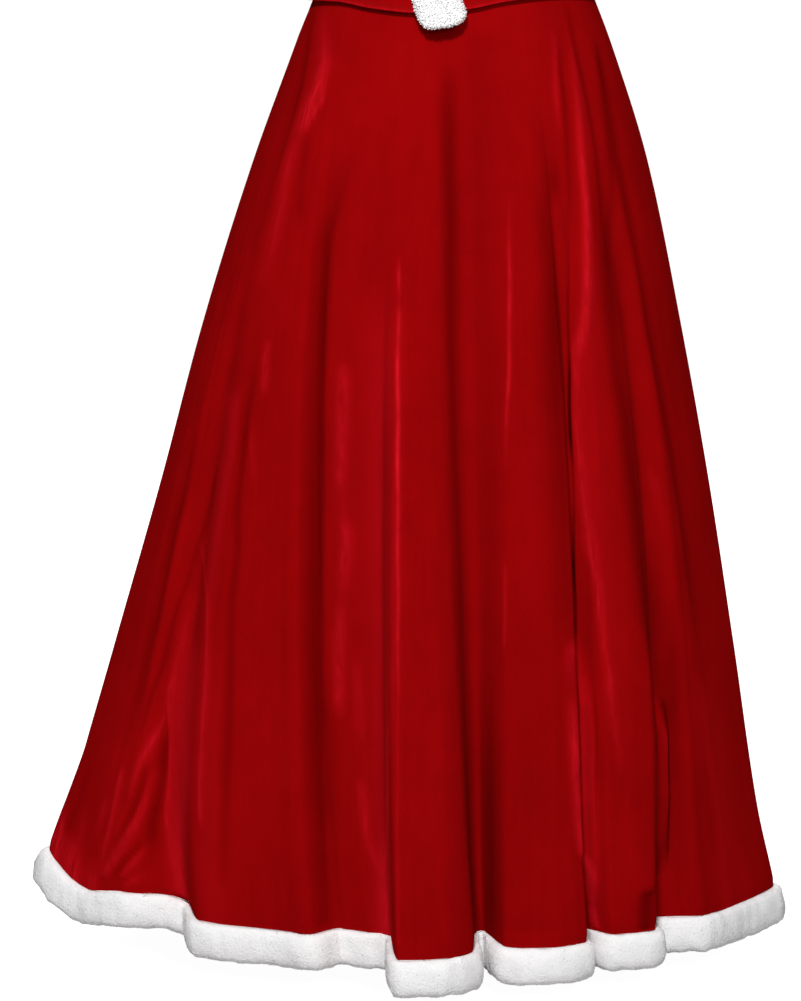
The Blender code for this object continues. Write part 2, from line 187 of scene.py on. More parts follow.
vinyl = Finish("floor_vinyl", Roughness=0.95, Emission_Strength=FLOOR_GLOW)
vinyl_place = vinyl.node("ShaderNodeTexCoord", {}, {}, "Object")
vinyl_tone = vinyl.noise(vinyl_place, (1.0, 1.0, 1.0), 3.0, 2.0)
vinyl_seen = vinyl.node("ShaderNodeLightPath", {}, {}, "Is Camera Ray")
vinyl.finished(
    Base_Color=vinyl.blend(vinyl_tone, (0.50, 0.50, 0.50, 1), (0.54, 0.54, 0.54, 1)),
    Emission_Color=vinyl.blend(vinyl_seen, (0, 0, 0, 1), (1, 1, 1, 1)),
)
floor_mesh = bpy.data.meshes.new("floor")
corners = [(-1, -1), (1, -1), (1, 1), (-1, 1)]
floor_mesh.from_pydata([(x * FLOOR_REACH, y * FLOOR_REACH, FLOOR_Z) for x, y in corners], [], [range(4)])
floor_mesh.materials.append(vinyl.material)
floor = new_object("floor", floor_mesh)

# Skirt front: one flared panel of red stretch velvet, sewn to the back panel at both sides and
# hung from the waist under the bodice's edge. The folds fall from the hips, the velvet is painted
# lighter along their creases as painted highlights and darker in their valleys as painted shade,
# and the inside is the smooth knit backing.
WAIST_Z = -0.400
SKIRT_TOP_DROP = 0.050
HEM_DROP = 0.990
SKIRT_LENGTH = HEM_DROP - SKIRT_TOP_DROP
WALL = 0.002
SHARP_ANGLE = 60

# Columns of the velvet lie COLUMN_STEP apart along the hem, evened out with the help of
# FINE_COLUMNS. Points FACING_STEP degrees to each side show which way the cloth faces, and
# marks in the photograph are traced on TRACE_ROWS rows.
COLUMN_STEP = 0.0036
FINE_COLUMNS = 4001
FACING_STEP = 0.2
TRACE_ROWS = 161

# Rows of the velvet, by share of the length: closer together lower down, closest at the hem.
TOP_ROWS = 28
MIDDLE_FROM = 0.36
MIDDLE_ROWS = 24
LOW_FROM = 0.60
LOW_ROWS = 80
LOW_END = 0.986
HEM_ROWS = [0.991, 0.995, 0.998, 1.0]
HEM_ROLL = 0.0014
HEM_ROLL_REACH = 0.005

# The plain form from the shoulders to the hem: how far it reaches from the middle line to each
# side at drops below the waist, where its sides lie in Y, and how square its front is. Left
# and right are as the photograph shows them.
FORM = dict(
    drop=(-.370, -.295, -.200, -.150, -.080, 0, .050, .114, .236, .400, .566, .735, .905, .990, 1.030),
    left=(.195, .175, .157, .155, .136, .118, .124, .147, .192, .244, .289, .338, .386, .404, .414),
    right=(.195, .175, .157, .157, .144, .136, .149, .173, .212, .247, .278, .305, .331, .350, .357),
    front=(.082, .101, .124, .133, .114, .100, .110, .126, .150, .178, .207, .235, .260, .272, .277),
    back=(.074, .092, .100, .098, .091, .090, .106, .129, .158, .188, .217, .248, .280, .298, .306),
    middle=(0, 0, 0, 0, 0, 0, 0, 0, -.002, -.006, -.012, -.019, -.026, -.030, -.031),
    square=(2.0, 2.0, 2.1, 2.2, 2.1, 2.1, 2.1, 2.1, 2.0, 1.9, 1.8, 1.7, 1.7, 1.7, 1.7),
)

# The fold lines, round from the left side seam: angle at the waist, angle at the hem, how far
# the line stands out at the hem and how far it lifts the hem, in mm, the share of the skirt's
# length where it begins, and how far it bends sideways on its way down, in degrees.
FRONT_FOLDS = [
    (-90.0, -90.0, 13, 42, 0.88, 0),
    (-76.0, -67.7, -15, 13, 0.40, 0),
    (-69.0, -58.0, -22, 18, 0.45, -3),
    (-65.0, -51.5, -48, 17, 0.35, -5),
    (-61.0, -47.5, -62, 10, 0.30, -5),
    (-56.0, -40.0, -33, 2, 0.30, -3),
    (-48.0, -27.0, -44, 0, 0.28, 0),
    (-44.0, -21.0, -40, 0, 0.24, 0),
    (-41.0, -17.5, -68, 1, 0.12, 0),
    (-30.0, -12.8, -65, 0, 0.16, 0),
    (-17.5, -9.2, -63, 0, 0.22, 0),
    (-13.5, -6.0, 7, -8, 0.20, 0),
    (-8.0, -2.0, 2, -8, 0.20, 0),
    (-4.5, 5.6, -26, -8, 0.10, 0),
    (0.8, 7.8, -76, -3, 0.05, 0),
    (4.5, 9.7, -84, -2, 0.05, 0),
    (18.5, 11.2, -30, -5, 0.16, 0),
    (26.0, 19.0, -11, -5, 0.16, 0),
    (29.5, 25.6, -18, -5, 0.10, 0),
    (32.5, 27.8, -56, 0, 0.02, 0),
    (41.0, 30.4, -14, 0, 0.02, 0),
    (46.0, 38.0, -6, 0, 0.06, 3.5),
    (52.0, 43.5, -42, 1, 0.04, 3.5),
    (60.0, 53.5, -18, 0, 0.08, 2),
    (68.0, 65.0, -18, 0, 0.10, 0),
]
BACK_FOLDS = [
    (90.0, 90.0, 0, 2, 0.10, 0),
    (103.0, 101.0, -34, 0, 0.22, 0),
    (112.0, 112.0, 5, -3, 0.22, 0),
    (120.0, 122.0, -40, 0, 0.12, 0),
    (131.0, 134.0, 6, -4, 0.18, 0),
    (142.0, 146.0, -52, 0, 0.08, 0),
    (154.0, 158.0, 2, -4, 0.14, 0),
    (167.0, 169.0, -38, 0, 0.20, 0),
    (182.0, 181.0, 9, -5, 0.14, 0),
    (196.0, 193.0, -55, 0, 0.06, 0),
    (206.0, 205.0, 3, -4, 0.12, 0),
    (217.0, 217.0, -36, 0, 0.20, 0),
    (228.0, 229.0, 7, -3, 0.20, 0),
    (239.0, 241.0, -42, 4, 0.12, 0),
    (250.0, 252.0, 2, 12, 0.22, 0),
    (261.0, 262.0, -16, 27, 0.40, 0),
]
FOLD_GROWTH = 1.35
SWAY_LOW = 1.6
SIDE_SEAMS = (0, len(FRONT_FOLDS), len(FRONT_FOLDS) + len(BACK_FOLDS))

# Creases laid over the folds. wide is the reach to each side and high how far the crease
# stands out, in mm. The painted shading value is painted light, how much lighter the velvet is
# painted there, or painted shade below 0. line is the strength of a painted highlight line along
# it, or of a painted dark line below 0, and patchy how broken up the painted light is.
# seen gives the places along it as the photograph shows them: pixels across, pixels down
# and how strong the crease is there. path gives share of the length, angle and strength.
# A height or painted shading value that is left out is 0.
FRONT_CREASES = [
    dict(name="middle_line", wide=(5, 9), high=1.2, painted_shading=.10, line=.95, seen=[
        (399, 262, 0), (399, 270, .6), (399, 284, .6), (399, 293, .1), (399, 304, .1), (399, 312, .6),
        (398, 345, .5), (398, 366, .9), (398, 470, 1), (398, 505, .7), (398, 640, .5), (398, 700, .2),
        (398, 945, .15),
    ]),
    dict(name="right_line", wide=(5, 6), high=1.0, painted_shading=.10, line=.80, seen=[
        (509, 185, 0), (509, 240, .3), (509, 290, .8), (509, 340, .6), (508, 380, .7), (506, 430, .3),
        (505, 480, 0),
    ]),
    dict(name="right_line_low", wide=(4, 5), high=0.6, painted_shading=.08, line=.60, seen=[
        (505, 555, 0), (505, 575, .4), (504, 640, .4), (504, 655, 0),
    ]),
    dict(name="middle_valley", wide=(8, 9), high=-2.2, painted_shading=-.70, seen=[
        (450, 62, 0), (449, 88, .6), (449, 130, .9), (451, 200, 1), (453, 330, .8), (458, 480, .5),
        (464, 640, .45), (470, 760, .3), (472, 820, 0),
    ]),
    dict(name="left_valley", wide=(14, 4), high=-2.4, painted_shading=-.80, seen=[
        (350, 158, 0), (340, 200, .4), (329, 240, .8), (325, 300, 1), (321, 400, 1), (320, 520, 1),
        (319, 650, .9), (320, 750, .6), (323, 850, .4), (325, 925, .3),
    ]),
    dict(name="panel_patches", wide=(6, 7), high=1.2, painted_shading=.56, patchy=.7, seen=[
        (343, 360, 0), (343, 375, .8), (341, 420, .9), (340, 475, .8), (341, 492, .2), (343, 515, .3),
        (346, 535, .9), (345, 560, .9), (343, 578, .6), (341, 600, .2), (340, 625, .8), (338, 670, .9),
        (337, 705, .8), (337, 722, 0),
    ]),
    dict(name="panel_patch_low", wide=(4, 4), high=0.6, painted_shading=.40, patchy=.5, seen=[
        (356, 655, 0), (357, 670, .7), (359, 700, .7), (360, 728, .6), (361, 742, 0),
    ]),
    dict(name="panel_streak", wide=(5, 5), high=0.8, painted_shading=.42, line=.12, patchy=.5, seen=[
        (361, 778, 0), (362, 792, .8), (366, 830, .8), (371, 850, .6), (377, 866, .4), (381, 880, 0),
    ]),
    dict(name="left_ridge", wide=(4, 5), high=1.2, painted_shading=.28, line=.45, patchy=.3, seen=[
        (200, 540, 0), (203, 560, .5), (207, 600, .6), (207, 640, .5), (204, 700, .7), (201, 745, .4),
        (200, 765, .7), (200, 815, .6), (201, 832, 0),
    ]),
    dict(name="left_panel_valley", wide=(6, 5), high=-1.5, painted_shading=-.42, seen=[
        (256, 350, 0), (253, 368, .4), (251, 386, .7), (245, 422, 1), (242, 450, 1), (236, 512, 1),
        (236, 548, 1), (231, 602, .9), (229, 680, 1), (226, 760, 1), (223, 840, .7), (222, 885, .2),
    ]),
    dict(name="left_patch_high", wide=(4, 4), high=0.8, painted_shading=.62, patchy=.8, seen=[
        (268, 338, 0), (266, 350, .8), (264, 385, .6), (262, 397, 0),
    ]),
    dict(name="left_patch_low", wide=(4, 4), high=0.6, painted_shading=.35, patchy=.8, seen=[
        (252, 425, 0), (251, 440, .5), (253, 470, .4), (252, 490, 0),
    ]),
    dict(name="left_glow", wide=(18, 8), painted_shading=.26, seen=[
        (238, 388, 0), (235, 404, 1), (232, 440, 1), (226, 476, 1), (220, 512, 1), (214, 548, 1),
        (210, 584, .9), (207, 610, .6), (206, 640, 0),
    ]),
    dict(name="thin_drag", wide=(4, 4), high=-1.2, painted_shading=-.36, line=-.10, seen=[
        (216, 462, 0), (214, 476, .6), (211, 494, .9), (207, 512, .9), (203, 530, .7), (196, 550, .8),
        (187, 583, .8), (177, 613, .8), (170, 640, .9), (165, 660, .9), (158, 680, .9), (150, 700, .8),
        (144, 720, .8), (136, 745, 0),
    ]),
    dict(name="wide_drag", wide=(10, 10), high=-2.4, painted_shading=-.45, seen=[
        (202, 420, 0), (193, 450, .5), (183, 493, .8), (173, 527, .9), (155, 620, .9), (147, 645, .8),
        (135, 700, .6), (120, 760, 0),
    ]),
    dict(name="drag_glow", wide=(5, 5), high=1.0, painted_shading=.15, seen=[
        (196, 480, 0), (190, 500, .5), (180, 540, .6), (165, 600, .5), (156, 650, 0),
    ]),
    dict(name="drag_crest", wide=(6, 9), high=1.8, painted_shading=.42, line=.20, patchy=.6, seen=[
        (198, 585, 0), (192, 615, .3), (182, 655, .4), (175, 685, .8), (166, 718, 1), (153, 742, 1),
        (142, 762, .8), (133, 785, .5), (126, 805, 0),
    ]),
    dict(name="drag_gap", wide=(7, 7), high=-2.4, painted_shading=-.62, seen=[
        (172, 690, 0), (168, 715, .6), (165, 750, .9), (160, 782, 1), (155, 805, 1), (151, 835, .9),
        (149, 855, .4), (147, 875, 0),
    ]),
    dict(name="foot_ridge", wide=(4, 6), high=1.6, painted_shading=.40, line=.15, patchy=.4, seen=[
        (172, 690, 0), (173, 710, .5), (174, 750, .8), (172, 785, .7), (170, 815, .9), (171, 838, .5),
        (174, 862, .2), (187, 892, 0),
    ]),
    dict(name="corner_thin", wide=(4, 4), high=1.6, painted_shading=.55, line=.25, patchy=.5, seen=[
        (122, 763, 0), (120, 777, .7), (116, 795, .8), (111, 820, .7), (104, 850, .5), (100, 866, 0),
    ]),
    dict(name="corner_branch", wide=(5, 5), high=0.8, painted_shading=.35, patchy=.8, seen=[
        (106, 796, 0), (104, 806, .6), (99, 824, .6), (95, 840, 0),
    ]),
    dict(name="corner_branch_low", wide=(5, 5), high=0.8, painted_shading=.35, patchy=.8, seen=[
        (84, 814, 0), (82, 825, .5), (80, 836, .5), (78, 848, 0),
    ]),
    dict(name="corner_glow", wide=(7, 7), high=1.0, painted_shading=.32, patchy=.8, seen=[
        (126, 800, 0), (120, 825, .6), (112, 850, .7), (103, 872, .5),
    ]),
    dict(name="corner_ridge", wide=(6, 7), high=2.0, painted_shading=.52, patchy=.6, seen=[
        (157, 765, 0), (154, 775, .6), (148, 795, .8), (140, 817, .9), (126, 837, .9), (115, 858, .9),
        (103, 876, .7),
    ]),
    dict(name="corner_low", wide=(5, 5), high=1.6, painted_shading=.52, patchy=.5, seen=[
        (149, 842, 0), (145, 850, .7), (134, 862, .8), (121, 877, .6),
    ]),
    dict(name="corner_low_end", wide=(5, 5), high=1.0, painted_shading=.45, patchy=.5, seen=[
        (142, 872, 0), (134, 880, .6), (122, 888, .4),
    ]),
    dict(name="corner_gap", wide=(4, 4), high=-1.5, painted_shading=-.55, seen=[
        (143, 840, 0), (139, 846, .8), (128, 857, .9), (117, 870, .7), (112, 881, .2),
    ]),
    dict(name="corner_gap_high", wide=(5, 5), high=-2.0, painted_shading=-.58, seen=[
        (150, 760, 0), (146, 773, .8), (140, 792, .9), (131, 812, .9), (122, 828, .7), (112, 848, .3),
        (106, 862, 0),
    ]),
    dict(name="corner_shade", wide=(8, 10), high=-1.2, painted_shading=-.42, seen=[
        (92, 760, 0), (82, 790, .3), (73, 812, .6), (66, 826, .8), (62, 838, 0),
    ]),
    dict(name="corner_tip", wide=(16, 16), high=0.8, painted_shading=.80, patchy=1, path=[
        (.94, -86.0, 0), (.97, -85.0, .8), (1.0, -84.0, 1),
    ]),
    dict(name="corner_edge", wide=(16, 14), high=0.8, painted_shading=.70, patchy=1, path=[
        (.955, -76.0, 0), (.98, -75.5, .8), (1.0, -75.0, 1),
    ]),
    dict(name="corner_edge_low", wide=(12, 12), high=0.6, painted_shading=.45, patchy=1, path=[
        (.96, -68.0, 0), (.985, -67.8, .6), (1.0, -67.6, .9),
    ]),
    dict(name="hip_valley", wide=(12, 6), high=-2.5, painted_shading=-.50, seen=[
        (313, 8, .3), (309, 30, .6), (304, 60, .8), (299, 85, .8), (290, 118, .6), (268, 190, .4),
        (240, 290, 0),
    ]),
    dict(name="hip_ridge", wide=(9, 8), high=2.0, painted_shading=.80, line=.25, patchy=.9, seen=[
        (324, 12, .1), (324, 45, .3), (324, 67, .8), (319, 85, 1), (310, 105, 1), (303, 123, .8),
        (299, 134, .2), (290, 160, .35), (277, 227, .35), (262, 290, 0),
    ]),
    dict(name="hip_ridge_branch", wide=(3, 3), high=1.0, painted_shading=.60, line=.20, patchy=.6, seen=[
        (324, 84, 0), (322, 99, .8), (316, 110, .8), (309, 122, .6), (304, 132, 0),
    ]),
    dict(name="hip_patch", wide=(6, 6), high=-1.0, painted_shading=-.32, patchy=.5, seen=[
        (308, 128, 0), (305, 146, .8), (300, 180, .5), (299, 212, .8), (298, 232, 0),
    ]),
    dict(name="hip_crest", wide=(4, 6), high=2.6, painted_shading=.70, patchy=.4, seen=[
        (566, 25, 0), (573, 60, .25), (576, 90, .4), (579, 125, .7), (582, 165, 1), (585, 207, 1),
        (586, 247, .95), (586, 283, 1), (583, 322, .9), (578, 345, .8), (576, 362, 0),
    ]),
    dict(name="hip_glow", wide=(9, 10), high=1.5, painted_shading=.16, seen=[
        (585, 180, 0), (590, 230, .5), (592, 290, .6), (592, 420, .4), (612, 600, .3), (628, 740, 0),
    ]),
    dict(name="hip_streak", wide=(3, 4), high=1.0, painted_shading=.55, patchy=.5, seen=[
        (553, 26, 0), (555, 48, .5), (556, 80, .6), (557, 105, .5), (559, 132, 0),
    ]),
    dict(name="hip_thin_gap", wide=(4, 5), high=-1.2, painted_shading=-.50, line=-.12, seen=[
        (559, 30, 0), (561, 60, .6), (565, 105, .9), (568, 150, .8), (570, 200, .6), (570, 240, 0),
    ]),
    dict(name="hip_gap", wide=(4, 5), high=-1.6, painted_shading=-.50, seen=[
        (568, 6, .4), (573, 30, .6), (579, 60, .7), (586, 90, .7), (592, 120, .6), (602, 200, .4),
        (609, 260, 0),
    ]),
    dict(name="hip_side_gap", wide=(6, 7), high=-1.2, painted_shading=-.34, seen=[
        (597, 40, 0), (601, 60, 1), (605, 100, 1), (610, 140, 1), (614, 180, 1), (611, 218, .8),
        (610, 255, .5), (612, 290, 0),
    ]),
    dict(name="right_valley", wide=(7, 9), high=-2.8, painted_shading=-.55, seen=[
        (597, 40, .2), (605, 75, .6), (613, 120, .8), (621, 170, .9), (628, 205, 1), (638, 255, .7),
        (650, 325, .8), (661, 385, .9), (678, 487, .7), (690, 573, .6), (704, 690, 0),
    ]),
    dict(name="thigh_valley", wide=(12, 10), high=-3.0, painted_shading=-.62, seen=[
        (596, 150, 0), (605, 233, .7), (609, 260, .9), (618, 355, .9), (628, 420, 1), (638, 507, 1),
        (647, 600, 1), (651, 690, .8), (656, 830, .4), (654, 870, .8), (651, 895, 1.2), (650, 930, 1.2),
    ]),
    dict(name="thigh_shade", wide=(5, 14), painted_shading=-.50, seen=[
        (647, 530, 0), (649, 565, .5), (652, 612, 1.1), (653, 650, 1.1), (657, 680, 1), (659, 706, 1.1),
        (660, 722, .5), (661, 736, 0),
    ]),
    dict(name="middle_right_valley", wide=(17, 9), high=-2.6, painted_shading=-.64, seen=[
        (536, 105, 0), (548, 155, .4), (552, 180, .8), (550, 215, .7), (553, 250, .8), (557, 300, 1),
        (558, 350, .9), (560, 400, .8), (565, 520, .5), (567, 600, .3), (568, 640, 0),
    ]),
    dict(name="high_pleat", wide=(5, 9), high=5.0, path=[
        (.04, 32.3, 0), (.12, 31.9, .4), (.22, 31.4, 1), (.30, 31.1, .8), (.38, 30.7, 0),
    ]),
    dict(name="middle_low_shade", wide=(16, 8), painted_shading=-.45, seen=[
        (486, 640, 0), (489, 720, .7), (491, 800, 1), (492, 900, .9), (492, 945, .5),
    ]),
    dict(name="pinch", wide=(4, 3), high=-2.0, painted_shading=-.30, line=-1.0, seen=[
        (567, 185, 0), (568, 300, .35), (569, 350, .5), (570, 375, .9), (571, 440, 1), (573, 466, .4),
        (574, 500, .3), (574, 535, .6), (575, 570, 1), (576, 600, .6), (576, 628, .5), (576, 640, 0),
    ]),
    # A painted shadow on the velvet below the strip's lower end.
    dict(name="pressed_under_strip", wide=(16, 14), painted_shading=-.80, seen=[
        (441, 18, 0), (441, 25, 1), (442, 34, 1), (442, 40, 0),
    ]),
    dict(name="beside_pinch", wide=(6, 7), high=1.4, painted_shading=.48, line=.20, patchy=.8, seen=[
        (572, 335, 0), (574, 365, .7), (576, 430, .6), (583, 495, .7), (589, 545, .9), (596, 592, 1.1),
        (600, 620, .7), (604, 650, .5), (610, 680, .7), (613, 720, .5), (619, 752, .3), (621, 775, 0),
    ]),
    dict(name="low_ridge", wide=(7, 10), high=2.5, painted_shading=.82, patchy=.5, seen=[
        (572, 638, 0), (572, 650, .6), (571, 668, .3), (572, 694, .1), (573, 712, .5), (575, 745, 1),
        (577, 780, .9), (579, 815, .8), (582, 850, .8), (585, 874, .7), (588, 900, .5),
    ]),
    dict(name="pleat_shade", wide=(8, 8), painted_shading=-.28, seen=[
        (587, 545, 0), (588, 570, .9), (588, 620, .8), (589, 670, 1.3), (590, 710, 1.5), (594, 745, 1.1),
        (598, 775, .4), (599, 800, 0),
    ]),
    dict(name="low_pleat", wide=(20, 16), high=20.0, painted_shading=.25, path=[
        (.70, 29.8, 0), (.76, 29.8, .9), (.86, 29.2, 1), (.92, 29.0, .9), (.95, 28.8, .5), (.98, 28.6, 0),
    ]),
    dict(name="low_ridge_foot", wide=(5, 6), high=1.5, painted_shading=.85, seen=[
        (590, 894, 0), (592, 910, 1), (595, 928, 1),
    ]),
    dict(name="beside_middle_line", wide=(26, 22), high=3.0, painted_shading=.52, path=[
        (.28, -14.2, 0), (.40, -13.0, .5), (.65, -10.6, .9), (.85, -9.0, 1.2), (1.0, -7.8, 1.4),
    ]),
    dict(name="side_fill", wide=(18, 24), high=7.0, painted_shading=0, seen=[
        (186, 590, 0), (187, 620, .5), (184, 700, 1), (182, 760, 1), (182, 820, 1), (184, 870, .9),
        (187, 900, .6),
    ]),
    dict(name="side_fold_light", wide=(14, 20), painted_shading=.60, seen=[
        (197, 620, 0), (194, 660, .5), (189, 710, .8), (186, 780, 1), (185, 850, 1.1), (187, 900, .9),
        (188, 930, .7),
    ]),
    dict(name="low_left_glow", wide=(16, 16), painted_shading=.16, seen=[
        (213, 620, 0), (212, 700, .8), (211, 800, 1), (213, 930, .9),
    ]),
    dict(name="low_right_shade", wide=(26, 30), painted_shading=-.25, seen=[
        (524, 560, 0), (524, 640, .7), (526, 800, 1), (528, 930, .8),
    ]),
    dict(name="side_shade", wide=(20, 20), painted_shading=-.16, seen=[
        (688, 750, 0), (692, 800, 1), (698, 880, .8), (702, 930, .7),
    ]),
    # Broad painted shade on the skirt's right side.
    dict(name="side_tone", wide=(30, 24), painted_shading=-.12, seen=[
        (640, 220, 0), (650, 300, .9), (668, 420, .9), (680, 500, 1), (688, 600, 1), (694, 680, 0),
    ]),
    dict(name="side_hollow", wide=(9, 9), high=-0.8, painted_shading=-.38, seen=[
        (674, 590, 0), (674, 650, .9), (675, 710, 1.2), (676, 770, 1.2), (677, 800, .8), (679, 850, .5),
        (681, 900, .2), (682, 930, .2),
    ]),
    dict(name="middle_shade", wide=(12, 22), painted_shading=-.22, seen=[
        (476, 30, .6), (478, 120, 1), (480, 300, 1), (484, 500, .8), (488, 620, .3), (489, 660, 0),
    ]),
    dict(name="middle_line_foot", wide=(12, 10), high=2.0, painted_shading=.52, seen=[
        (389, 640, 0), (388, 740, .5), (388, 800, 1), (388, 860, 1.4), (388, 945, 1.3),
    ]),
    # Broad painted shade on the middle panel.
    dict(name="middle_tone", wide=(50, 40), painted_shading=-.10, seen=[
        (388, 200, 0), (390, 330, .8), (394, 450, 1), (396, 700, 1), (400, 840, .7), (402, 940, .4),
    ]),
    dict(name="left_valley_low", wide=(12, 10), high=-.8, painted_shading=-.36, seen=[
        (322, 650, 0), (326, 715, .8), (328, 790, 1), (330, 870, .6), (331, 925, .4),
    ]),
    dict(name="thigh_gap", wide=(4, 4), high=-1.2, painted_shading=-.40, line=-.55, seen=[
        (661, 694, 0), (664, 710, .7), (667, 738, 1), (668, 780, .9), (668, 848, .9), (667, 864, 0),
    ]),
    dict(name="thigh_gap_light", wide=(3, 3), high=1.2, painted_shading=.50, seen=[
        (659, 724, 0), (661, 738, .9), (662, 790, .7), (661, 850, .3), (660, 880, 0),
    ]),
    dict(name="thigh_pleat", wide=(24, 12), high=15.0, painted_shading=.26, path=[
        (.76, 49.2, 0), (.80, 48.6, .8), (.87, 47.3, 1), (.92, 46.1, .7), (.96, 45.2, 0),
    ]),
    dict(name="side_ridge", wide=(12, 24), high=1.2, painted_shading=.14, seen=[
        (692, 640, 0), (704, 710, .6), (718, 800, 1), (724, 860, 1), (728, 925, .9),
    ]),
    dict(name="side_patch", wide=(5, 5), high=0.8, painted_shading=.32, patchy=.8, seen=[
        (650, 460, 0), (653, 480, .6), (657, 500, .4), (665, 530, 0),
    ]),
    dict(name="thigh_ridge", wide=(9, 9), high=1.5, painted_shading=.12, seen=[
        (626, 250, 0), (640, 340, .5), (660, 460, .5), (672, 580, .4), (680, 650, 0),
    ]),
]
PLAIN_PATCHY = 0.2

# A thin painted line, a highlight or a dark line, shows up to LINE_REACH to each side, fades out
# over LINE_FADE, and gives way to a nearer line over LINE_MEET, in mm. It is followed for LINE_END
# of the length past its ends.
LINE_REACH = 10.0
LINE_FADE = 3.0
LINE_MEET = 2.5
LINE_END = 0.03

# Every crease wanders a little sideways: how far in mm, how fast down the length, and how far
# each crease is out of step with the one before.
WANDER = 0.3
WANDER_PACE = 67.0
WANDER_STEP = 2.3

# Slight waves of the loose cloth: height in mm, and turns between two fold lines. They rise
# over WAVES_FROM_SEAM, in metres from a side seam.
LOOSE_WAVES = [(0.45, 0.29), (0.40, 0.53), (0.30, 0.87), (0.22, 1.37), (0.14, 2.11)]
WAVES_FROM_SEAM = 0.03

# How far the cloth sinks in along a side seam, and how far to each side, in metres.
SEAM_SINK = 0.0011
SEAM_SINK_REACH = 0.0025


def ease(share):
    """A smooth rise from 0 to 1 that is level at both ends."""
    share = np.clip(share, 0.0, 1.0)
    return share * share * (3 - 2 * share)


def smooth_curve(xs, ys, at):
    """The values at the places at, on a smooth curve that never swings past its points."""
    xs, ys = np.asarray(xs, float), np.asarray(ys, float)
    at = np.clip(at, xs[0], xs[-1])
    rises = np.diff(ys) / np.diff(xs)
    slopes = np.concatenate([rises[:1], np.zeros(len(xs) - 2), rises[-1:]])
    same = np.nonzero(rises[:-1] * rises[1:] > 0)[0]
    slopes[same + 1] = 2 * rises[same] * rises[same + 1] / (rises[same] + rises[same + 1])
    i = np.clip(np.searchsorted(xs, at, "right") - 1, 0, len(xs) - 2)
    step = xs[i + 1] - xs[i]
    t = (at - xs[i]) / step
    bend = step * (slopes[i] * t * (1 - t) ** 2 - slopes[i + 1] * t * t * (1 - t))
    return ys[i] + (ys[i + 1] - ys[i]) * t * t * (3 - 2 * t) + bend


def length_along(points):
    """How far along a row of points each of them lies."""
    return np.concatenate([[0], np.cumsum(np.linalg.norm(np.diff(points, axis=0), axis=1))])


def unit(ways):
    """The same directions, all of length 1."""
    return ways / np.linalg.norm(ways, axis=-1, keepdims=True)


def form_at(drop):
    """The plain form's reaches at drops below the waist."""
    return {key: smooth_curve(FORM["drop"], FORM[key], drop) for key in FORM if key != "drop"}


def ring_point(section, angle):
    """The plain form's ring, as x and y, at angles in degrees."""
    across = np.sin(np.radians(angle))
    flat = np.abs(across).clip(0, 1)
    reach = np.where(across > 0, section["right"], section["left"])
    front = section["front"] * (1 - flat ** section["square"]) ** (1 / section["square"])
    back = section["back"] * np.sqrt(1 - flat * flat)
    return reach * across, section["middle"] + np.where(np.cos(np.radians(angle)) >= 0, -front, back)


def moved_out(drop, angle, out):
    """Points of the plain form, moved out level, as an array of x, y, z."""
    section = form_at(drop)
    x, y = ring_point(section, angle)
    x0, y0 = ring_point(section, angle - FACING_STEP)
    x1, y1 = ring_point(section, angle + FACING_STEP)
    along = np.hypot(x1 - x0, y1 - y0)
    x, y = x + (y1 - y0) / along * out, y - (x1 - x0) / along * out
    return np.stack([x, y, np.broadcast_to(WAIST_Z - np.asarray(drop, float), x.shape)], -1)


def nearest_line(lines):
    """The signed distance in mm to the nearest line, and its strength, which fades half-way
    to the next line. Beyond its ends a line goes on without strength, and counts as further."""
    offs = np.stack([off for off, _ in lines])
    shown = np.stack([strength * ease((LINE_REACH - np.abs(off)) / LINE_FADE) for off, strength in lines])
    far = np.abs(offs) + LINE_REACH * (shown == 0)
    order = np.argsort(far, axis=0)[:2]
    first, second = np.take_along_axis(far, order, 0)
    off = np.take_along_axis(offs, order, 0)[0]
    return off, np.take_along_axis(shown, order, 0)[0] * ease((second - first) / LINE_MEET)


def crease_ring(creases, angle, along, share):
    """The creases on one ring: how far they stand out, and their painted light there. The first
    holds the distance to the nearest painted highlight line in mm, its strength and the painted
    shading, lighter above 0 and darker below, and the second the same for a painted dark line,
    with how patchy the painted light is."""
    out, painted_shading, patchy = (np.zeros_like(angle) for _ in range(3))
    far = [(np.full_like(angle, side * 2 * LINE_REACH), 0.0) for side in (1, -1)]
    bright, dark = list(far), list(far)
    for number, crease in enumerate(creases):
        shares, angles, strengths = zip(*crease["path"])
        if not shares[0] - LINE_END < share < shares[-1] + LINE_END:
            continue
        strength = np.interp(share, shares, strengths, 0.0, 0.0)
        middle = np.interp(smooth_curve(shares, angles, share), angle, along)
        off = (along - middle) * 1000 + WANDER * math.sin(share * WANDER_PACE + number * WANDER_STEP)
        bell = strength * np.exp(-((off / np.where(off < 0, *crease["wide"])) ** 2))
        out += crease.get("high", 0.0) / 1000 * bell
        painted_shading += crease.get("painted_shading", 0.0) * bell
        patchy = np.maximum(patchy, crease.get("patchy", PLAIN_PATCHY) * bell)
        if "line" in crease:
            (bright if crease["line"] > 0 else dark).append((off, abs(crease["line"]) * strength))
    nap = np.stack([*nearest_line(bright), painted_shading], -1)
    return out, nap, np.stack([*nearest_line(dark), patchy], -1)


def fold_lines():
    """Columns of the fold tables, with the first and last lines again one turn on."""
    lines = np.array(FRONT_FOLDS + BACK_FOLDS)
    turn = np.array([360.0, 360.0, 0, 0, 0, 0])
    return np.concatenate([lines[-1:] - turn, lines, lines[:2] + turn]).T


def line_angles(share):
    """The fold lines' angles at a share of the skirt's length."""
    top, hem, _, _, _, sway = fold_lines()
    return top + (hem - top) * share + sway * math.sin(math.pi * min(share, 1.0) ** SWAY_LOW)


def angle_at(column, share):
    """The angle of a column of the skirt, which is a place in the list of fold lines."""
    angles = line_angles(share)
    return np.interp(column, np.arange(len(angles)) - 1.0, angles)


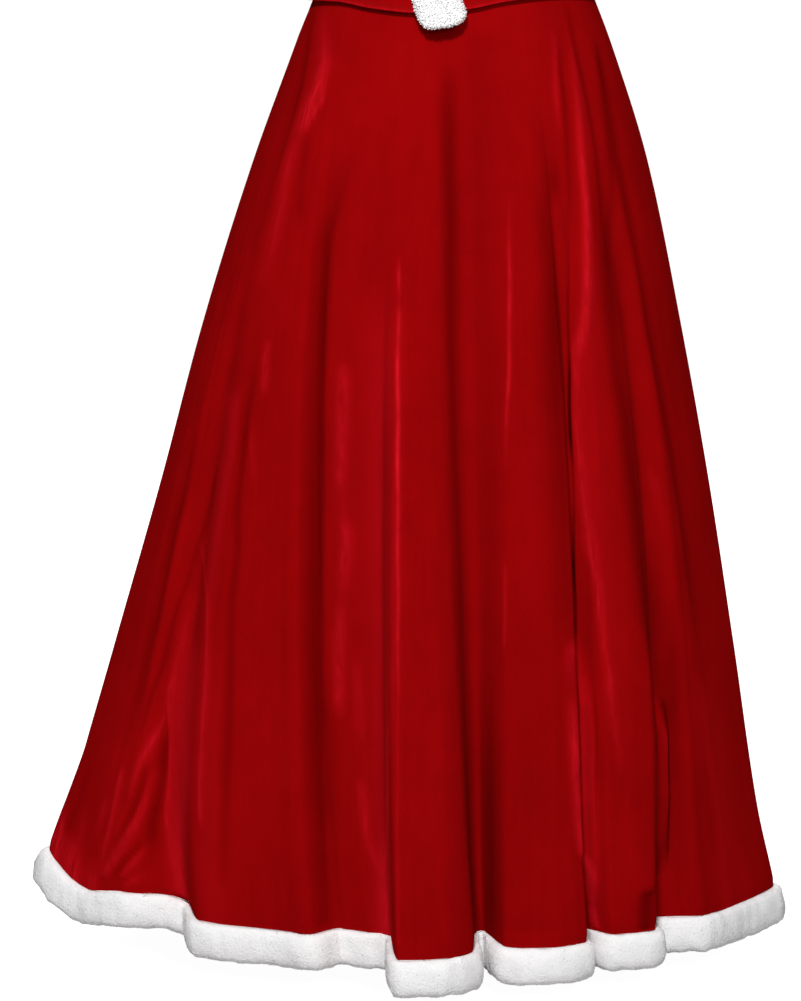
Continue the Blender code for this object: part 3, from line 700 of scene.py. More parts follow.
def skirt_ring(column, share, creases=()):
    """One ring of the skirt at a share of its length, or past 1 on the hem band: its points
    and what the velvet's finish reads there."""
    _, hem, out, lift, begins, _ = fold_lines()
    angle = angle_at(column, share)
    grown = np.maximum(share - begins, 0.0) / (1 - begins)
    stand = smooth_curve(line_angles(share), out / 1000 * grown**FOLD_GROWTH, angle)
    lift = smooth_curve(hem, lift / 1000, angle_at(column, 1.0))
    drop = SKIRT_TOP_DROP + (SKIRT_LENGTH - lift) * share
    ring = moved_out(drop, angle, stand)
    if not creases:
        return ring, None, None
    along = length_along(ring)
    creased, nap, dent = crease_ring(creases, angle, along, min(share, 1.0))
    loose = sum(high * np.sin(2 * math.pi * column * turns + 9 * turns) for high, turns in LOOSE_WAVES)
    from_seam = np.minimum(along, along[-1] - along)
    loose = loose / 1000 * share * ease(from_seam / WAVES_FROM_SEAM)
    pressed = SEAM_SINK * np.exp(-((from_seam / SEAM_SINK_REACH) ** 2))
    return moved_out(drop, angle, stand + creased + loose - pressed), nap, dent


def even_columns(first, last, step):
    """Columns of the skirt between two fold lines, evenly spaced along the hem."""
    fine = np.linspace(first, last, FINE_COLUMNS)
    ring = skirt_ring(fine, 1.0)[0]
    along = length_along(ring)
    return np.interp(np.linspace(0, along[-1], round(along[-1] / step) + 1), along, fine)


def in_picture(points):
    """Where points show in the photograph, in pixels across and down, and how far away."""
    away = points - np.array(CAMERA_PLACE)
    tilt = math.radians(CAMERA_TILT)
    deep = away[..., 1] * math.cos(tilt) - away[..., 2] * math.sin(tilt)
    high = away[..., 1] * math.sin(tilt) + away[..., 2] * math.cos(tilt)
    pixels = CAMERA_LENS / SENSOR * PICTURE_HEIGHT / deep
    return PICTURE_WIDTH / 2 + away[..., 0] * pixels, PICTURE_HEIGHT / 2 - high * pixels, deep


def traced(creases, first, last):
    """Gives each crease that has marks its path on the cloth. The first mark is on the cloth
    nearest to the camera, and each further one follows on from it."""
    column = even_columns(first, last, COLUMN_STEP)
    shares = np.linspace(0, 1, TRACE_ROWS)
    across, down, deep = in_picture(np.stack([skirt_ring(column, share)[0] for share in shares]))
    angles = np.stack([angle_at(column, share) for share in shares])
    k = np.arange(len(column))
    for crease in creases:
        if "seen" not in crease:
            continue
        crease["path"] = path = []
        for x, y, strength in crease["seen"]:
            row = np.clip((down < y).sum(axis=0), 1, len(shares) - 1)
            t = np.clip((y - down[row - 1, k]) / (down[row, k] - down[row - 1, k]), 0, 1)
            tables = [across - x, angles, deep, np.broadcast_to(shares[:, None], down.shape)]
            off, angle, far, share = (v[row - 1, k] * (1 - t) + v[row, k] * t for v in tables)
            meets = np.nonzero(off[:-1] * off[1:] <= 0)[0]
            if not len(meets):
                meets = np.abs(off[:-1]).argmin()[None]
            way = np.abs(angle - path[-1][1]) if path else far
            at = meets[way[meets].argmin()]
            step = off[at] - off[at + 1]
            part = np.clip(off[at] / step, 0, 1) if step else 0.0
            path.append((*(v[at] + (v[at + 1] - v[at]) * part for v in (share, angle)), strength))
    return creases


def grid_faces(rows, columns):
    """Faces of a grid whose rows run down and whose columns run anticlockwise from above."""
    k = (np.arange(rows - 1)[:, None] * columns + np.arange(columns - 1)).ravel()
    return np.stack([k, k + columns, k + columns + 1, k + 1], -1)


def vertex_normals(points, faces):
    """The unit normals of a mesh at its points."""
    a, b, c, d = (points[faces[:, k]] for k in range(4))
    normal = np.zeros_like(points)
    for k in range(4):
        np.add.at(normal, faces[:, k], np.cross(c - a, d - b))
    return unit(normal)


def cloth_shell(name, points, faces, uv, nap, dent, seam, hem):
    """A velvet panel as a closed shell: its outer points, the same WALL further in, and a rim.
    The inner points keep square to Y at a seam and level at the hem."""
    count = len(points)
    normal = vertex_normals(points, faces)
    normal[list(seam), 1] = 0.0
    normal[list(hem), 2] = 0.0
    inner = points - unit(normal) * WALL
    ways = {(int(a), int(b)) for quad in faces for a, b in zip(quad, np.roll(quad, -1))}
    rim = sorted((b, a, a + count, b + count) for a, b in ways if (b, a) not in ways)
    mesh = bpy.data.meshes.new(name)
    every = faces.tolist() + rim + (faces[:, ::-1] + count).tolist()
    mesh.from_pydata(np.concatenate([points, inner]).tolist(), [], every)
    mesh.shade_smooth()
    mesh.materials.append(velvet)
    mesh.materials.append(backing)
    outer_faces = len(faces) + len(rim)
    mesh.polygons.foreach_set("material_index", [int(k >= outer_faces) for k in range(len(every))])
    corner = np.zeros(len(mesh.loops), int)
    mesh.loops.foreach_get("vertex_index", corner)
    mesh.uv_layers.new(name="cloth").data.foreach_set("uv", uv[corner % count].astype(float).ravel())
    for layer, values in (("nap", nap), ("dent", dent)):
        attribute = mesh.attributes.new(layer, "FLOAT_VECTOR", "POINT")
        attribute.data.foreach_set("vector", np.concatenate([values, values]).astype(float).ravel())
    mesh.set_sharp_from_angle(angle=math.radians(SHARP_ANGLE))
    return new_object(name, mesh)


def skirt_panel(name, first, last, creases):
    """A skirt panel between two side seams, which are fold lines by number. Its seam edges lie
    just where those of the other panel do, so that no light shows through."""
    column = even_columns(first, last, COLUMN_STEP)
    top = np.linspace(0, MIDDLE_FROM, TOP_ROWS, False)
    middle = np.linspace(MIDDLE_FROM, LOW_FROM, MIDDLE_ROWS, False)
    low = np.linspace(LOW_FROM, LOW_END, LOW_ROWS)
    shares = np.concatenate([top, middle, low, HEM_ROWS])
    points, painted_lights, painted_dark_lines = [], [], []
    for share in shares:
        ring, nap, dent = skirt_ring(column, share, creases)
        along = unit(np.gradient(ring[:, :2], axis=0))
        rolled = HEM_ROLL * math.exp(-(((1 - share) * SKIRT_LENGTH / HEM_ROLL_REACH) ** 2))
        ring[:, 0] -= along[:, 1] * rolled
        ring[:, 1] += along[:, 0] * rolled
        ring[[0, -1], 1] = form_at(WAIST_Z - ring[[0, -1], 2])["middle"]
        points.append(ring)
        painted_lights.append(nap)
        painted_dark_lines.append(dent)
    around = length_along(ring)
    down = shares[:, None] * SKIRT_LENGTH
    uv = np.stack(np.broadcast_arrays(around, down), -1).reshape(-1, 2)
    width, height = len(column), len(shares)
    seam = [row * width + k for row in range(height) for k in (0, width - 1)]
    hem = range((height - 1) * width, height * width)
    points, painted_lights, painted_dark_lines = (np.concatenate(rows) for rows in (points, painted_lights, painted_dark_lines))
    return cloth_shell(name, points, grid_faces(height, width), uv, painted_lights, painted_dark_lines, seam, hem)


def velvet_finish():
    """Red stretch velvet with a random tone, painted shade in the valleys and painted highlights
    along the creases, broken into patches."""
    finish = Finish(
        "red_velvet",
        Roughness=0.75,
        Specular_IOR_Level=0.0,
        Sheen_Weight=0.04,
        Sheen_Roughness=0.40,
        Sheen_Tint=(1.0, 0.03, 0.02, 1.0),
    )
    cloth = finish.node("ShaderNodeUVMap", {"uv_map": "cloth"}, {})
    place = finish.node("ShaderNodeTexCoord", {}, {}, "Object")
    nap = finish.node("ShaderNodeAttribute", {"attribute_name": "nap"}, {}, "Vector")
    dent = finish.node("ShaderNodeAttribute", {"attribute_name": "dent"}, {}, "Vector")
    nap = {axis: finish.node("ShaderNodeSeparateXYZ", {}, {0: nap}, axis) for axis in "XYZ"}
    dent = {axis: finish.node("ShaderNodeSeparateXYZ", {}, {0: dent}, axis) for axis in "XYZ"}
    clouds = finish.noise(place, (1.0, 1.0, 0.6), 14.0, 2.0)
    blotches = finish.noise(place, (1.0, 1.0, 0.7), 62.0, 2.0)
    streaks = finish.noise(cloth, (1.0, 0.06, 1.0), 150.0, 2.0)
    # This noise breaks the painted highlights and the painted light into patches.
    painted_glint_breakup = finish.noise(cloth, (1.0, 0.28, 1.0), 140.0, 3.0)
    grain = finish.noise(place, (1.0, 1.0, 1.0), 600.0, 2.0)
    painted_glint_patches = (painted_glint_breakup - 0.5) * 4.0 + 0.5
    # Profiles across a painted highlight line and across a painted dark line.
    bright_stops = [(0, 0), (.33, 0), (.40, .25), (.46, .80), (.50, 1), (.54, .80), (.61, .25), (.70, 0)]
    dark_stops = [(0, 0), (.34, 0), (.44, .65), (.50, 1), (.55, .75), (.60, 0), (1, 0)]
    across = nap["X"] * (0.5 / LINE_REACH) + 0.5
    bright = finish.node("ShaderNodeValToRGB", {"stops": bright_stops}, {"Fac": across}) * nap["Y"]
    bright = bright * (0.85 + (painted_glint_breakup - 0.5) * 1.6)
    across = dent["X"] * (0.5 / LINE_REACH) + 0.5
    dark = finish.node("ShaderNodeValToRGB", {"stops": dark_stops}, {"Fac": across}) * dent["Y"]
    tone = (clouds - 0.5) * 0.8 + (blotches - 0.5) * 0.4 + (streaks - 0.5) * 0.35 + (grain - 0.5) * 0.15
    # Painted light: below 0 the red blends to a painted shade red, above 0 to a painted highlight red, and
    # the painted highlight lines and painted dark lines go on top.
    light = nap["Z"] * (1.0 - dent["Z"] + dent["Z"] * painted_glint_patches * 1.2)
    red = finish.blend(tone + 0.5, (0.225, 0.0010, 0.0016, 1), (0.330, 0.0018, 0.0026, 1))
    red = finish.blend(0.0 - nap["Z"], red, (0.100, 0.0003, 0.0004, 1))
    red = finish.blend(light, red, (0.58, 0.006, 0.013, 1))
    red = finish.blend(bright, red, (0.62, 0.007, 0.015, 1))
    red = finish.blend(dark, red, (0.018, 0.0, 0.0, 1))
    height = grain * 0.2 + streaks * 0.3 + blotches * 0.2 + light * 0.6 + bright - dark
    return finish.finished(Base_Color=red, Normal=finish.bump(height, 0.0006, 0.30))


def backing_finish():
    """The velvet's knit backing: dull red, with fine ribs."""
    finish = Finish("knit_backing", Roughness=0.9, Specular_IOR_Level=0.1)
    cloth = finish.node("ShaderNodeUVMap", {"uv_map": "cloth"}, {})
    ribs = finish.node("ShaderNodeTexWave", {}, {"Vector": cloth, "Scale": 160.0, "Distortion": 0.6}, 1)
    fibre = finish.noise(cloth, (1.0, 1.0, 1.0), 700.0, 2.0)
    tone = ribs * 0.6 + fibre * 0.4
    dull = finish.blend(tone, (0.10, 0.003, 0.004, 1), (0.17, 0.006, 0.007, 1))
    return finish.finished(Base_Color=dull, Normal=finish.bump(tone, 0.0003, 0.4))


velvet = velvet_finish()
backing = backing_finish()
front_creases = traced(FRONT_CREASES, SIDE_SEAMS[0], SIDE_SEAMS[1])
skirt_front = skirt_panel("skirt_front_velvet", SIDE_SEAMS[0], SIDE_SEAMS[1], front_creases)
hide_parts("skirt_front")
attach(skirt_front, "root")

# Skirt back: the second flared panel, cut and hung like the front one. Its folds are as uneven
# in width and depth as those of the front. Left and right are as seen from behind.
# As on the front, the creases paint highlights on the ridges and shade in the valleys, with painted
# highlight lines and painted dark lines.
BACK_CREASES = [
    dict(name="left_side_valley", wide=(8, 9), high=-3.0, painted_shading=-.45, path=[
        (.16, 104.0, 0), (.40, 103.4, .8), (.75, 102.4, .6), (.98, 101.5, .8),
    ]),
    dict(name="left_patches", wide=(4, 6), high=2.0, painted_shading=.35, patchy=.7, path=[
        (.26, 112.5, 0), (.36, 112.0, .8), (.52, 111.6, .4), (.70, 111.8, .7), (.96, 112.6, .1),
    ]),
    dict(name="left_deep_valley", wide=(6, 9), high=-3.6, painted_shading=-.70, path=[
        (.08, 121.0, 0), (.30, 121.4, .7), (.55, 121.6, 1), (.98, 122.4, .8),
    ]),
    dict(name="left_line", wide=(4, 7), high=1.8, painted_shading=.12, line=.9, path=[
        (.24, 133.0, 0), (.27, 133.2, .7), (.40, 133.6, .9), (.46, 133.4, .2), (.60, 132.8, .5),
        (.74, 132.4, 0),
    ]),
    dict(name="left_middle_valley", wide=(9, 6), high=-4.0, painted_shading=-.80, path=[
        (.05, 142.2, 0), (.16, 142.9, .7), (.45, 144.6, 1), (.80, 145.8, .8), (.98, 146.4, .5),
    ]),
    dict(name="middle_patches", wide=(5, 5), high=2.4, painted_shading=.60, patchy=1, path=[
        (.20, 156.4, 0), (.28, 156.9, .8), (.42, 157.6, .9), (.50, 157.9, .2), (.62, 158.6, .6),
        (.84, 159.4, 0),
    ]),
    dict(name="middle_valley", wide=(8, 7), high=-3.2, painted_shading=-.55, path=[
        (.18, 167.4, 0), (.40, 168.0, .8), (.70, 168.6, .7), (.98, 169.2, .5),
    ]),
    dict(name="middle_line", wide=(4, 8), high=2.0, painted_shading=.12, line=1.0, path=[
        (.20, 180.4, 0), (.22, 180.3, .6), (.31, 179.8, .2), (.36, 179.6, 1), (.52, 179.8, .7),
        (.70, 180.6, .3), (.96, 181.4, .1),
    ]),
    dict(name="right_middle_valley", wide=(10, 6), high=-4.0, painted_shading=-.85, path=[
        (.04, 195.6, 0), (.14, 195.0, .8), (.50, 194.0, 1), (.82, 193.4, .7), (.98, 193.0, .5),
    ]),
    dict(name="thin_line", wide=(4, 4), high=1.6, painted_shading=.30, line=.6, patchy=.6, path=[
        (.46, 198.8, 0), (.52, 198.2, .7), (.64, 197.4, .9), (.72, 197.2, .3), (.80, 196.8, 0),
    ]),
    dict(name="right_patches", wide=(6, 6), high=2.2, painted_shading=.45, patchy=.8, path=[
        (.26, 204.8, 0), (.38, 205.4, .8), (.55, 206.2, .9), (.66, 205.9, .3), (.80, 205.4, .1),
    ]),
    dict(name="right_valley", wide=(6, 9), high=-3.2, painted_shading=-.60, path=[
        (.14, 217.6, 0), (.36, 217.2, .8), (.70, 216.6, .8), (.98, 217.2, .6),
    ]),
    dict(name="right_line", wide=(4, 5), high=1.8, painted_shading=.12, line=.7, path=[
        (.30, 227.2, 0), (.36, 227.6, .8), (.48, 228.1, .4), (.62, 228.7, .7), (.90, 229.6, 0),
    ]),
    dict(name="right_deep_valley", wide=(8, 7), high=-3.4, painted_shading=-.65, path=[
        (.10, 239.4, 0), (.32, 240.0, .8), (.60, 240.6, .9), (.98, 241.2, .6),
    ]),
    dict(name="right_side_patches", wide=(5, 5), high=2.0, painted_shading=.40, patchy=.8, path=[
        (.36, 250.4, 0), (.50, 251.2, .7), (.70, 252.2, .5), (.96, 251.6, 0),
    ]),
    dict(name="right_side_valley", wide=(6, 6), high=-2.2, painted_shading=-.45, path=[
        (.50, 256.8, 0), (.64, 257.4, .8), (.84, 257.6, .7), (.98, 258.2, .4),
    ]),
]
skirt_back = skirt_panel("skirt_back_velvet", SIDE_SEAMS[1], SIDE_SEAMS[2], BACK_CREASES)
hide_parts("skirt_back")
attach(skirt_back, "root")

# Hem band: a strip of white curly plush, about 37 mm deep, sewn right round below the velvet's
# edge and joined at the side seams. The padded strip carries thousands of short curled tufts.
BAND_STEP = 0.0045
BAND_LUMPS = 0.0010
TUFT_LENGTH = 0.0028
TUFT_WIDTH = 0.0023
HEM_TUFT_SPACING = 0.0019
MOST_TUFTS = 400000.0

# The lumps of the plush are a sum of seeded waves: how many waves, how few and how many turns
# of one lie within LUMP_SIZE, and what the sum is divided by.
LUMP_SEED = 11
LUMP_SIZE = 0.019
LUMP_WAVES = 14
LUMP_RANGE = (0.7, 1.6)
LUMP_DIVISOR = 4

# In an inward fold the band is kept thinner than this share of the fold's radius, and that is
# evened out over a few columns.
FOLD_ROOM = 0.66
ROOM_COLUMNS = 3
EVEN_COLUMNS = 5

# The band's section: out from the cloth and down from the band's top, in mm, and how thickly
# the tufts stand there.
BAND_SECTION = [
    (-2.0, 0.6, 0.1), (1.5, 0.4, 0.4), (5.0, 1.2, 1.0), (7.2, 4.5, 1.0), (8.2, 10.0, 1.0),
    (8.4, 17.0, 1.0), (8.0, 24.0, 1.0), (6.6, 30.5, 1.0), (4.0, 34.6, 1.0), (0.5, 36.0, 0.8),
    (-2.6, 34.4, 0.5), (-4.6, 29.0, 0.2), (-5.2, 18.0, 0.1), (-4.6, 7.0, 0.1),
]


def plush_finish():
    """White curly plush: matte, greyed a little at random by noise at the size of the curls and
    of the lumps, as painted shade between them.
    """
    finish = Finish("white_plush", Specular_IOR_Level=0.10)
    place = finish.node("ShaderNodeTexCoord", {}, {}, "Object")
    curls = finish.noise(place, (1.0, 1.0, 1.0), 420.0, 3.0)
    lumps = finish.noise(place, (1.0, 1.0, 1.0), 55.0, 2.0)
    # Painted shade: the white greys a little where the noise is low.
    tone = curls * 0.7 + lumps * 0.9 - 0.3
    white = finish.blend(tone, (0.86, 0.855, 0.86, 1), (0.95, 0.945, 0.945, 1))
    curled = finish.bump(curls, 0.0015, 0.5)
    return finish.finished(Base_Color=white, Roughness=0.85 + 0.1 * curls, Normal=curled)


plush = plush_finish()


def tuft_object(length, width):
    """One curled tuft: a three-sided spike of ten faces that leans over at its tip."""
    points, faces = [], []
    for over, up, wide in ((0.0, 0.0, 1.0), (0.18, 0.60, 0.95)):
        for side in range(3):
            turn = 2 * math.pi * side / 3
            x = over * length + wide * width / 2 * math.cos(turn)
            points.append((x, wide * width / 2 * math.sin(turn), up * length))
    points.append((0.45 * length, 0.0, length))
    for side in range(3):
        right = (side + 1) % 3
        faces += [(side, right, right + 3, side + 3), (side + 3, right + 3, 6)]
    faces.append((2, 1, 0))
    mesh = bpy.data.meshes.new("tuft")
    mesh.from_pydata(points, [], faces)
    mesh.shade_smooth()
    return bpy.data.objects.new("tuft", mesh)


def tree_node(tree, kind, values, **settings):
    """A node of a tree, with the values or links of its sockets by name or number."""
    node = tree.nodes.new(kind)
    for name, value in settings.items():
        setattr(node, name, value)
    for name, value in values.items():
        if isinstance(name, int):
            socket = node.inputs[name]
        else:
            socket = next(s for s in node.inputs if s.name == name and s.enabled)
        if isinstance(value, bpy.types.NodeSocket):
            tree.links.new(value, socket)
        else:
            socket.default_value = value
    return node


def new_tree(name, sizes):
    """An empty tree with a Geometry input and output, a Repeated object and named sizes."""
    tree = bpy.data.node_groups.new(name, "GeometryNodeTree")
    face = tree.interface
    face.new_socket("Geometry", in_out="INPUT", socket_type="NodeSocketGeometry")
    face.new_socket("Geometry", in_out="OUTPUT", socket_type="NodeSocketGeometry")
    face.new_socket("Repeated", in_out="INPUT", socket_type="NodeSocketObject")
    for size in sizes:
        face.new_socket(size, in_out="INPUT", socket_type="NodeSocketFloat")
    return tree


def laid_on(tree, points, repeated, rotation, given, seed):
    """Lays a copy on every point, each of its own size between Smallest and Largest."""
    sizes = {"Min": given["Smallest"], "Max": given["Largest"], "Seed": seed}
    size = tree_node(tree, "FunctionNodeRandomValue", sizes, data_type="FLOAT")
    values = {
        "Points": points,
        "Instance": repeated.outputs["Geometry"],
        "Rotation": rotation.outputs[0],
        "Scale": next(s for s in size.outputs if s.enabled),
    }
    return tree_node(tree, "GeometryNodeInstanceOnPoints", values).outputs[0]


def end_tree(tree, geometry, material):
    """Ends a tree: the copies become real mesh in one material."""
    real = tree_node(tree, "GeometryNodeRealizeInstances", {"Geometry": geometry})
    painted = tree_node(
        tree, "GeometryNodeSetMaterial", {"Geometry": real.outputs[0], "Material": material}
    )
    tree_node(tree, "NodeGroupOutput", {0: painted.outputs[0]})
    return tree


def plush_tree():
    """Scatters curled tufts over a padded strip, each with its own turn, lean and size."""
    tree = new_tree("plush_pile", ["Spacing", "Lean", "Smallest", "Largest"])
    given = tree_node(tree, "NodeGroupInput", {}).outputs
    tuft = tree_node(tree, "GeometryNodeObjectInfo", {"Object": given["Repeated"], "As Instance": True})
    cover = tree_node(tree, "GeometryNodeInputNamedAttribute", {"Name": "cover"}, data_type="FLOAT")
    spread = tree_node(
        tree,
        "GeometryNodeDistributePointsOnFaces",
        {
            "Mesh": given["Geometry"],
            "Distance Min": given["Spacing"],
            "Density Max": MOST_TUFTS,
            "Density Factor": cover.outputs[0],
            "Seed": 7,
        },
        distribute_method="POISSON",
    )
    back = tree_node(tree, "ShaderNodeMath", {0: given["Lean"], 1: -1.0}, operation="MULTIPLY")
    low = tree_node(
        tree, "ShaderNodeCombineXYZ", {"X": back.outputs[0], "Y": back.outputs[0], "Z": -math.pi}
    )
    high = tree_node(
        tree, "ShaderNodeCombineXYZ", {"X": given["Lean"], "Y": given["Lean"], "Z": math.pi}
    )
    lean = tree_node(
        tree,
        "FunctionNodeRandomValue",
        {"Min": low.outputs[0], "Max": high.outputs[0], "Seed": 3},
        data_type="FLOAT_VECTOR",
    )
    turn = tree_node(tree, "FunctionNodeEulerToRotation", {0: lean.outputs["Value"]})
    turned = tree_node(
        tree,
        "FunctionNodeRotateRotation",
        {"Rotation": spread.outputs["Rotation"], "Rotate By": turn.outputs[0]},
        rotation_space="LOCAL",
    )
    placed = laid_on(tree, spread.outputs["Points"], tuft, turned, given, 5)
    joined = tree_node(tree, "GeometryNodeJoinGeometry", {0: given["Geometry"]})
    tree.links.new(placed, joined.inputs[0])
    return end_tree(tree, joined.outputs[0], plush)


def grown(obj, tree, repeated, **sizes):
    """Runs a tree on an object, and keeps the result as its plain mesh."""
    modifier = obj.modifiers.new(tree.name, "NODES")
    modifier.node_group = tree
    values = dict(sizes, Repeated=repeated)
    for item in tree.interface.items_tree:
        if item.in_out == "INPUT" and item.name in values:
            modifier[item.identifier] = values[item.name]
    start = obj.data
    mesh = bpy.data.meshes.new_from_object(obj.evaluated_get(bpy.context.evaluated_depsgraph_get()))
    obj.modifiers.clear()
    obj.data = mesh
    bpy.data.meshes.remove(start)
    mesh.name = obj.name
    mesh.shade_smooth()


def lumpy(points, height):
    """How far the plush swells at each point: a seeded sum of waves in all directions."""
    draw = np.random.default_rng(LUMP_SEED)
    total = np.zeros(points.shape[:-1])
    for _ in range(LUMP_WAVES):
        way = draw.normal(size=3)
        way *= draw.uniform(*LUMP_RANGE) / np.linalg.norm(way)
        total += np.sin(points @ way * 2 * math.pi / LUMP_SIZE + draw.uniform(0, 2 * math.pi))
    return height * total / LUMP_DIVISOR


def padded_strip(name, rings, cover, lumps):
    """A closed padded strip from its rings, each a row of points round the section."""
    points = np.stack(rings)
    outward = unit(points - points.mean(axis=1, keepdims=True))
    points = points + outward * (lumpy(points, lumps) * cover)[:, :, None]
    rows, around, _ = points.shape
    faces = []
    for i in range(rows - 1):
        for j in range(around):
            k, right = i * around + j, i * around + (j + 1) % around
            faces.append((k, k + around, right + around, right))
    faces.append(tuple(range(around)))
    faces.append(tuple((rows - 1) * around + j for j in range(around))[::-1])
    mesh = bpy.data.meshes.new(name)
    mesh.from_pydata(points.reshape(-1, 3).tolist(), [], faces)
    layer = mesh.attributes.new("cover", "FLOAT", "POINT")
    layer.data.foreach_set("value", np.broadcast_to(cover, (rows, around)).astype(float).ravel())
    return new_object(name, mesh)


def hem_band(name, first, last):
    """The plush strip below one skirt panel, from side seam to side seam."""
    column = even_columns(first, last, BAND_STEP)
    layers = []
    for out, down, _ in BAND_SECTION:
        ring = skirt_ring(column, 1 + down / 1000 / SKIRT_LENGTH)[0]
        along = np.gradient(ring[:, :2], axis=0)
        length = np.linalg.norm(along, axis=1)
        along /= length[:, None]
        turn = along[:-1, 0] * along[1:, 1] - along[:-1, 1] * along[1:, 0]
        bend = np.concatenate([[0], (turn[:-1] + turn[1:]) / 2, [0]]) / length
        room = np.where(bend < -1e-6, FOLD_ROOM / np.maximum(-bend, 1e-6), np.inf)
        room = np.min([np.roll(room, k) for k in range(-ROOM_COLUMNS, ROOM_COLUMNS + 1)], axis=0)
        move = np.minimum(out / 1000, room)
        kernel = np.hanning(2 * EVEN_COLUMNS + 1)
        kernel /= kernel.sum()
        move = np.minimum(move, np.convolve(np.pad(move, EVEN_COLUMNS, "edge"), kernel, "valid"))
        move = move - WALL / 2
        ring[:, 0] += along[:, 1] * move
        ring[:, 1] -= along[:, 0] * move
        layers.append(ring)
    rings = np.stack(layers, axis=1)
    return padded_strip(name, rings, [row[2] for row in BAND_SECTION], BAND_LUMPS)


pile_tree = plush_tree()
tuft = tuft_object(TUFT_LENGTH, TUFT_WIDTH)
hem_front = hem_band("plush_hem_front", SIDE_SEAMS[0], SIDE_SEAMS[1])
hem_back = hem_band("plush_hem_back", SIDE_SEAMS[1], SIDE_SEAMS[2])
for band in (hem_front, hem_back):
    grown(band, pile_tree, tuft, Spacing=HEM_TUFT_SPACING, Lean=0.7, Smallest=0.55, Largest=1.1)
    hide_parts("hem_fur_band")
    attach(band, "root")

# Bodice front: a fitted, sleeveless and round-necked panel of the same velvet. It ends in a
# shallow point over the skirt's top. Its edges are turned in and stitched down.
SKIRT_CLEARANCE = 0.0005
BODICE_FLARE = 0.0040
UNDERARM_DROP = -0.200
FRONT_NECK_DROP = -0.295
BACK_NECK_DROP = -0.370
CENTRE_LEAN = -1.4
SHOULDER_ROUND = 0.110
STRIP_HALF_WIDTH = 0.025
STRIP_SHARE = 1 / 6
NECK_SHARE = 0.5
NECK_END = (0.088, 0.0)
SHOULDER_END = (0.156, -0.022)
NECK_HANDLES = dict(front=[(0.050, -0.105), (0.088, -0.055)], back=[(0.045, -0.030), (0.084, -0.014)])
ARMHOLE_HANDLES = dict(front=[(0.122, -0.192), (0.118, -0.090)], back=[(0.134, -0.192), (0.130, -0.080)])
BODICE_SEAM_SINK = 0.0009

# The turned-in edges: how far in they reach, how thick they are, the step where they end, and
# how they round off at the very edge.
HEM_TURN = 0.0065
HEM_THICK = 0.0008
HEM_STEP = 0.002
EDGE_ROUND = 0.003
EDGE_THIN = 0.4

# The velvet's painted light: a painted highlight line EDGE_SHINE mm inside the lower edge and
# how bright it is, how much painted light a wrinkle 1 mm high gets, with painted shade where it
# sinks in, and how patchy the painted light is.
EDGE_SHINE = 0.9
EDGE_BRIGHT = 0.35
WRINKLE_PAINTED_LIGHT = 0.14
BODICE_PATCHY = 0.4

BODICE_COLUMNS = 54
EDGE_ROWS = 12
LOWER_ROWS = 58
UPPER_ROWS = 45

# The edge stitches: their size and spacing, how far they lie inside the edge, how far the
# lower line keeps from the side seams and every line from the plush strip, and how far
# outside the cloth the search for a stitch's place on it starts.
STITCH_LENGTH = 0.0026
STITCH_THREAD = 0.00055
STITCH_STEP = 0.0036
STITCH_IN = 0.0055
LOWER_STITCH_IN = 0.0045
STITCH_MARGINS = (0.012, 0.020)
STITCH_CLEAR_OF_STRIP = 0.004
STITCH_LOOK = 0.002

# The front's lower edge, from left to right as photographed: across, and drop below the waist.
BODICE_EDGE = [
    (-0.140, 0.0725), (-0.096, 0.0740), (-0.062, 0.0805), (-0.024, 0.0845), (0.004, 0.0840),
    (0.030, 0.0800), (0.058, 0.0740), (0.100, 0.0690), (0.165, 0.0660),
]

# Soft wrinkles. They are flat this close to a free edge and to a seam, and at their full
# height this much further in. They end this share of their length past their path, and rise
# over this share of it.
FLAT_AT_EDGE = 0.004
FULL_FROM_EDGE = 0.018
FLAT_AT_SEAM = 0.002
FULL_FROM_SEAM = 0.022
WRINKLE_PAST = 0.15
WRINKLE_RISE = 0.5

# path gives (across, height) in m, wide the reach to each side and high the height in mm.
FRONT_WRINKLES = [
    dict(path=[(-.128, -.372), (-.094, -.386), (-.058, -.389)], wide=7, high=2.2),
    dict(path=[(-.120, -.402), (-.084, -.409), (-.050, -.404)], wide=6, high=-2.0),
    dict(path=[(-.126, -.425), (-.092, -.431), (-.066, -.428)], wide=6, high=1.6),
    dict(path=[(.132, -.366), (.104, -.380), (.072, -.384)], wide=7, high=2.0),
    dict(path=[(.136, -.392), (.098, -.400), (.060, -.396)], wide=6, high=-2.2),
    dict(path=[(.134, -.418), (.110, -.424), (.080, -.420)], wide=5, high=1.4),
    dict(path=[(-.142, -.214), (-.118, -.240), (-.086, -.252)], wide=9, high=-1.8),
    dict(path=[(.146, -.210), (.122, -.232), (.092, -.250)], wide=9, high=-2.0),
    dict(path=[(-.070, -.286), (-.062, -.330), (-.058, -.372)], wide=10, high=-1.6),
    dict(path=[(.074, -.280), (.064, -.322), (.057, -.366)], wide=11, high=-1.7),
    dict(path=[(-.112, -.120), (-.096, -.160), (-.090, -.196)], wide=8, high=1.4),
    dict(path=[(.114, -.126), (.100, -.158), (.092, -.188)], wide=9, high=1.5),
]


def curve_point(start, handles, end, t):
    """Points of the plane curve from start to end with two handles."""
    a, b, c, d = (np.array(p) for p in (start, *handles, end))
    t = np.asarray(t, float)[..., None]
    s = 1 - t
    return a * s**3 + b * 3 * s * s * t + c * 3 * s * t * t + d * t**3


def edge_drop(front, x):
    """The drop of the bodice's lower edge: a shallow point in front, straight at the back."""
    across, drop = zip(*BODICE_EDGE)
    if front:
        return smooth_curve(across, drop, x)
    return drop[0] + (drop[-1] - drop[0]) * (x - across[0]) / (across[-1] - across[0])


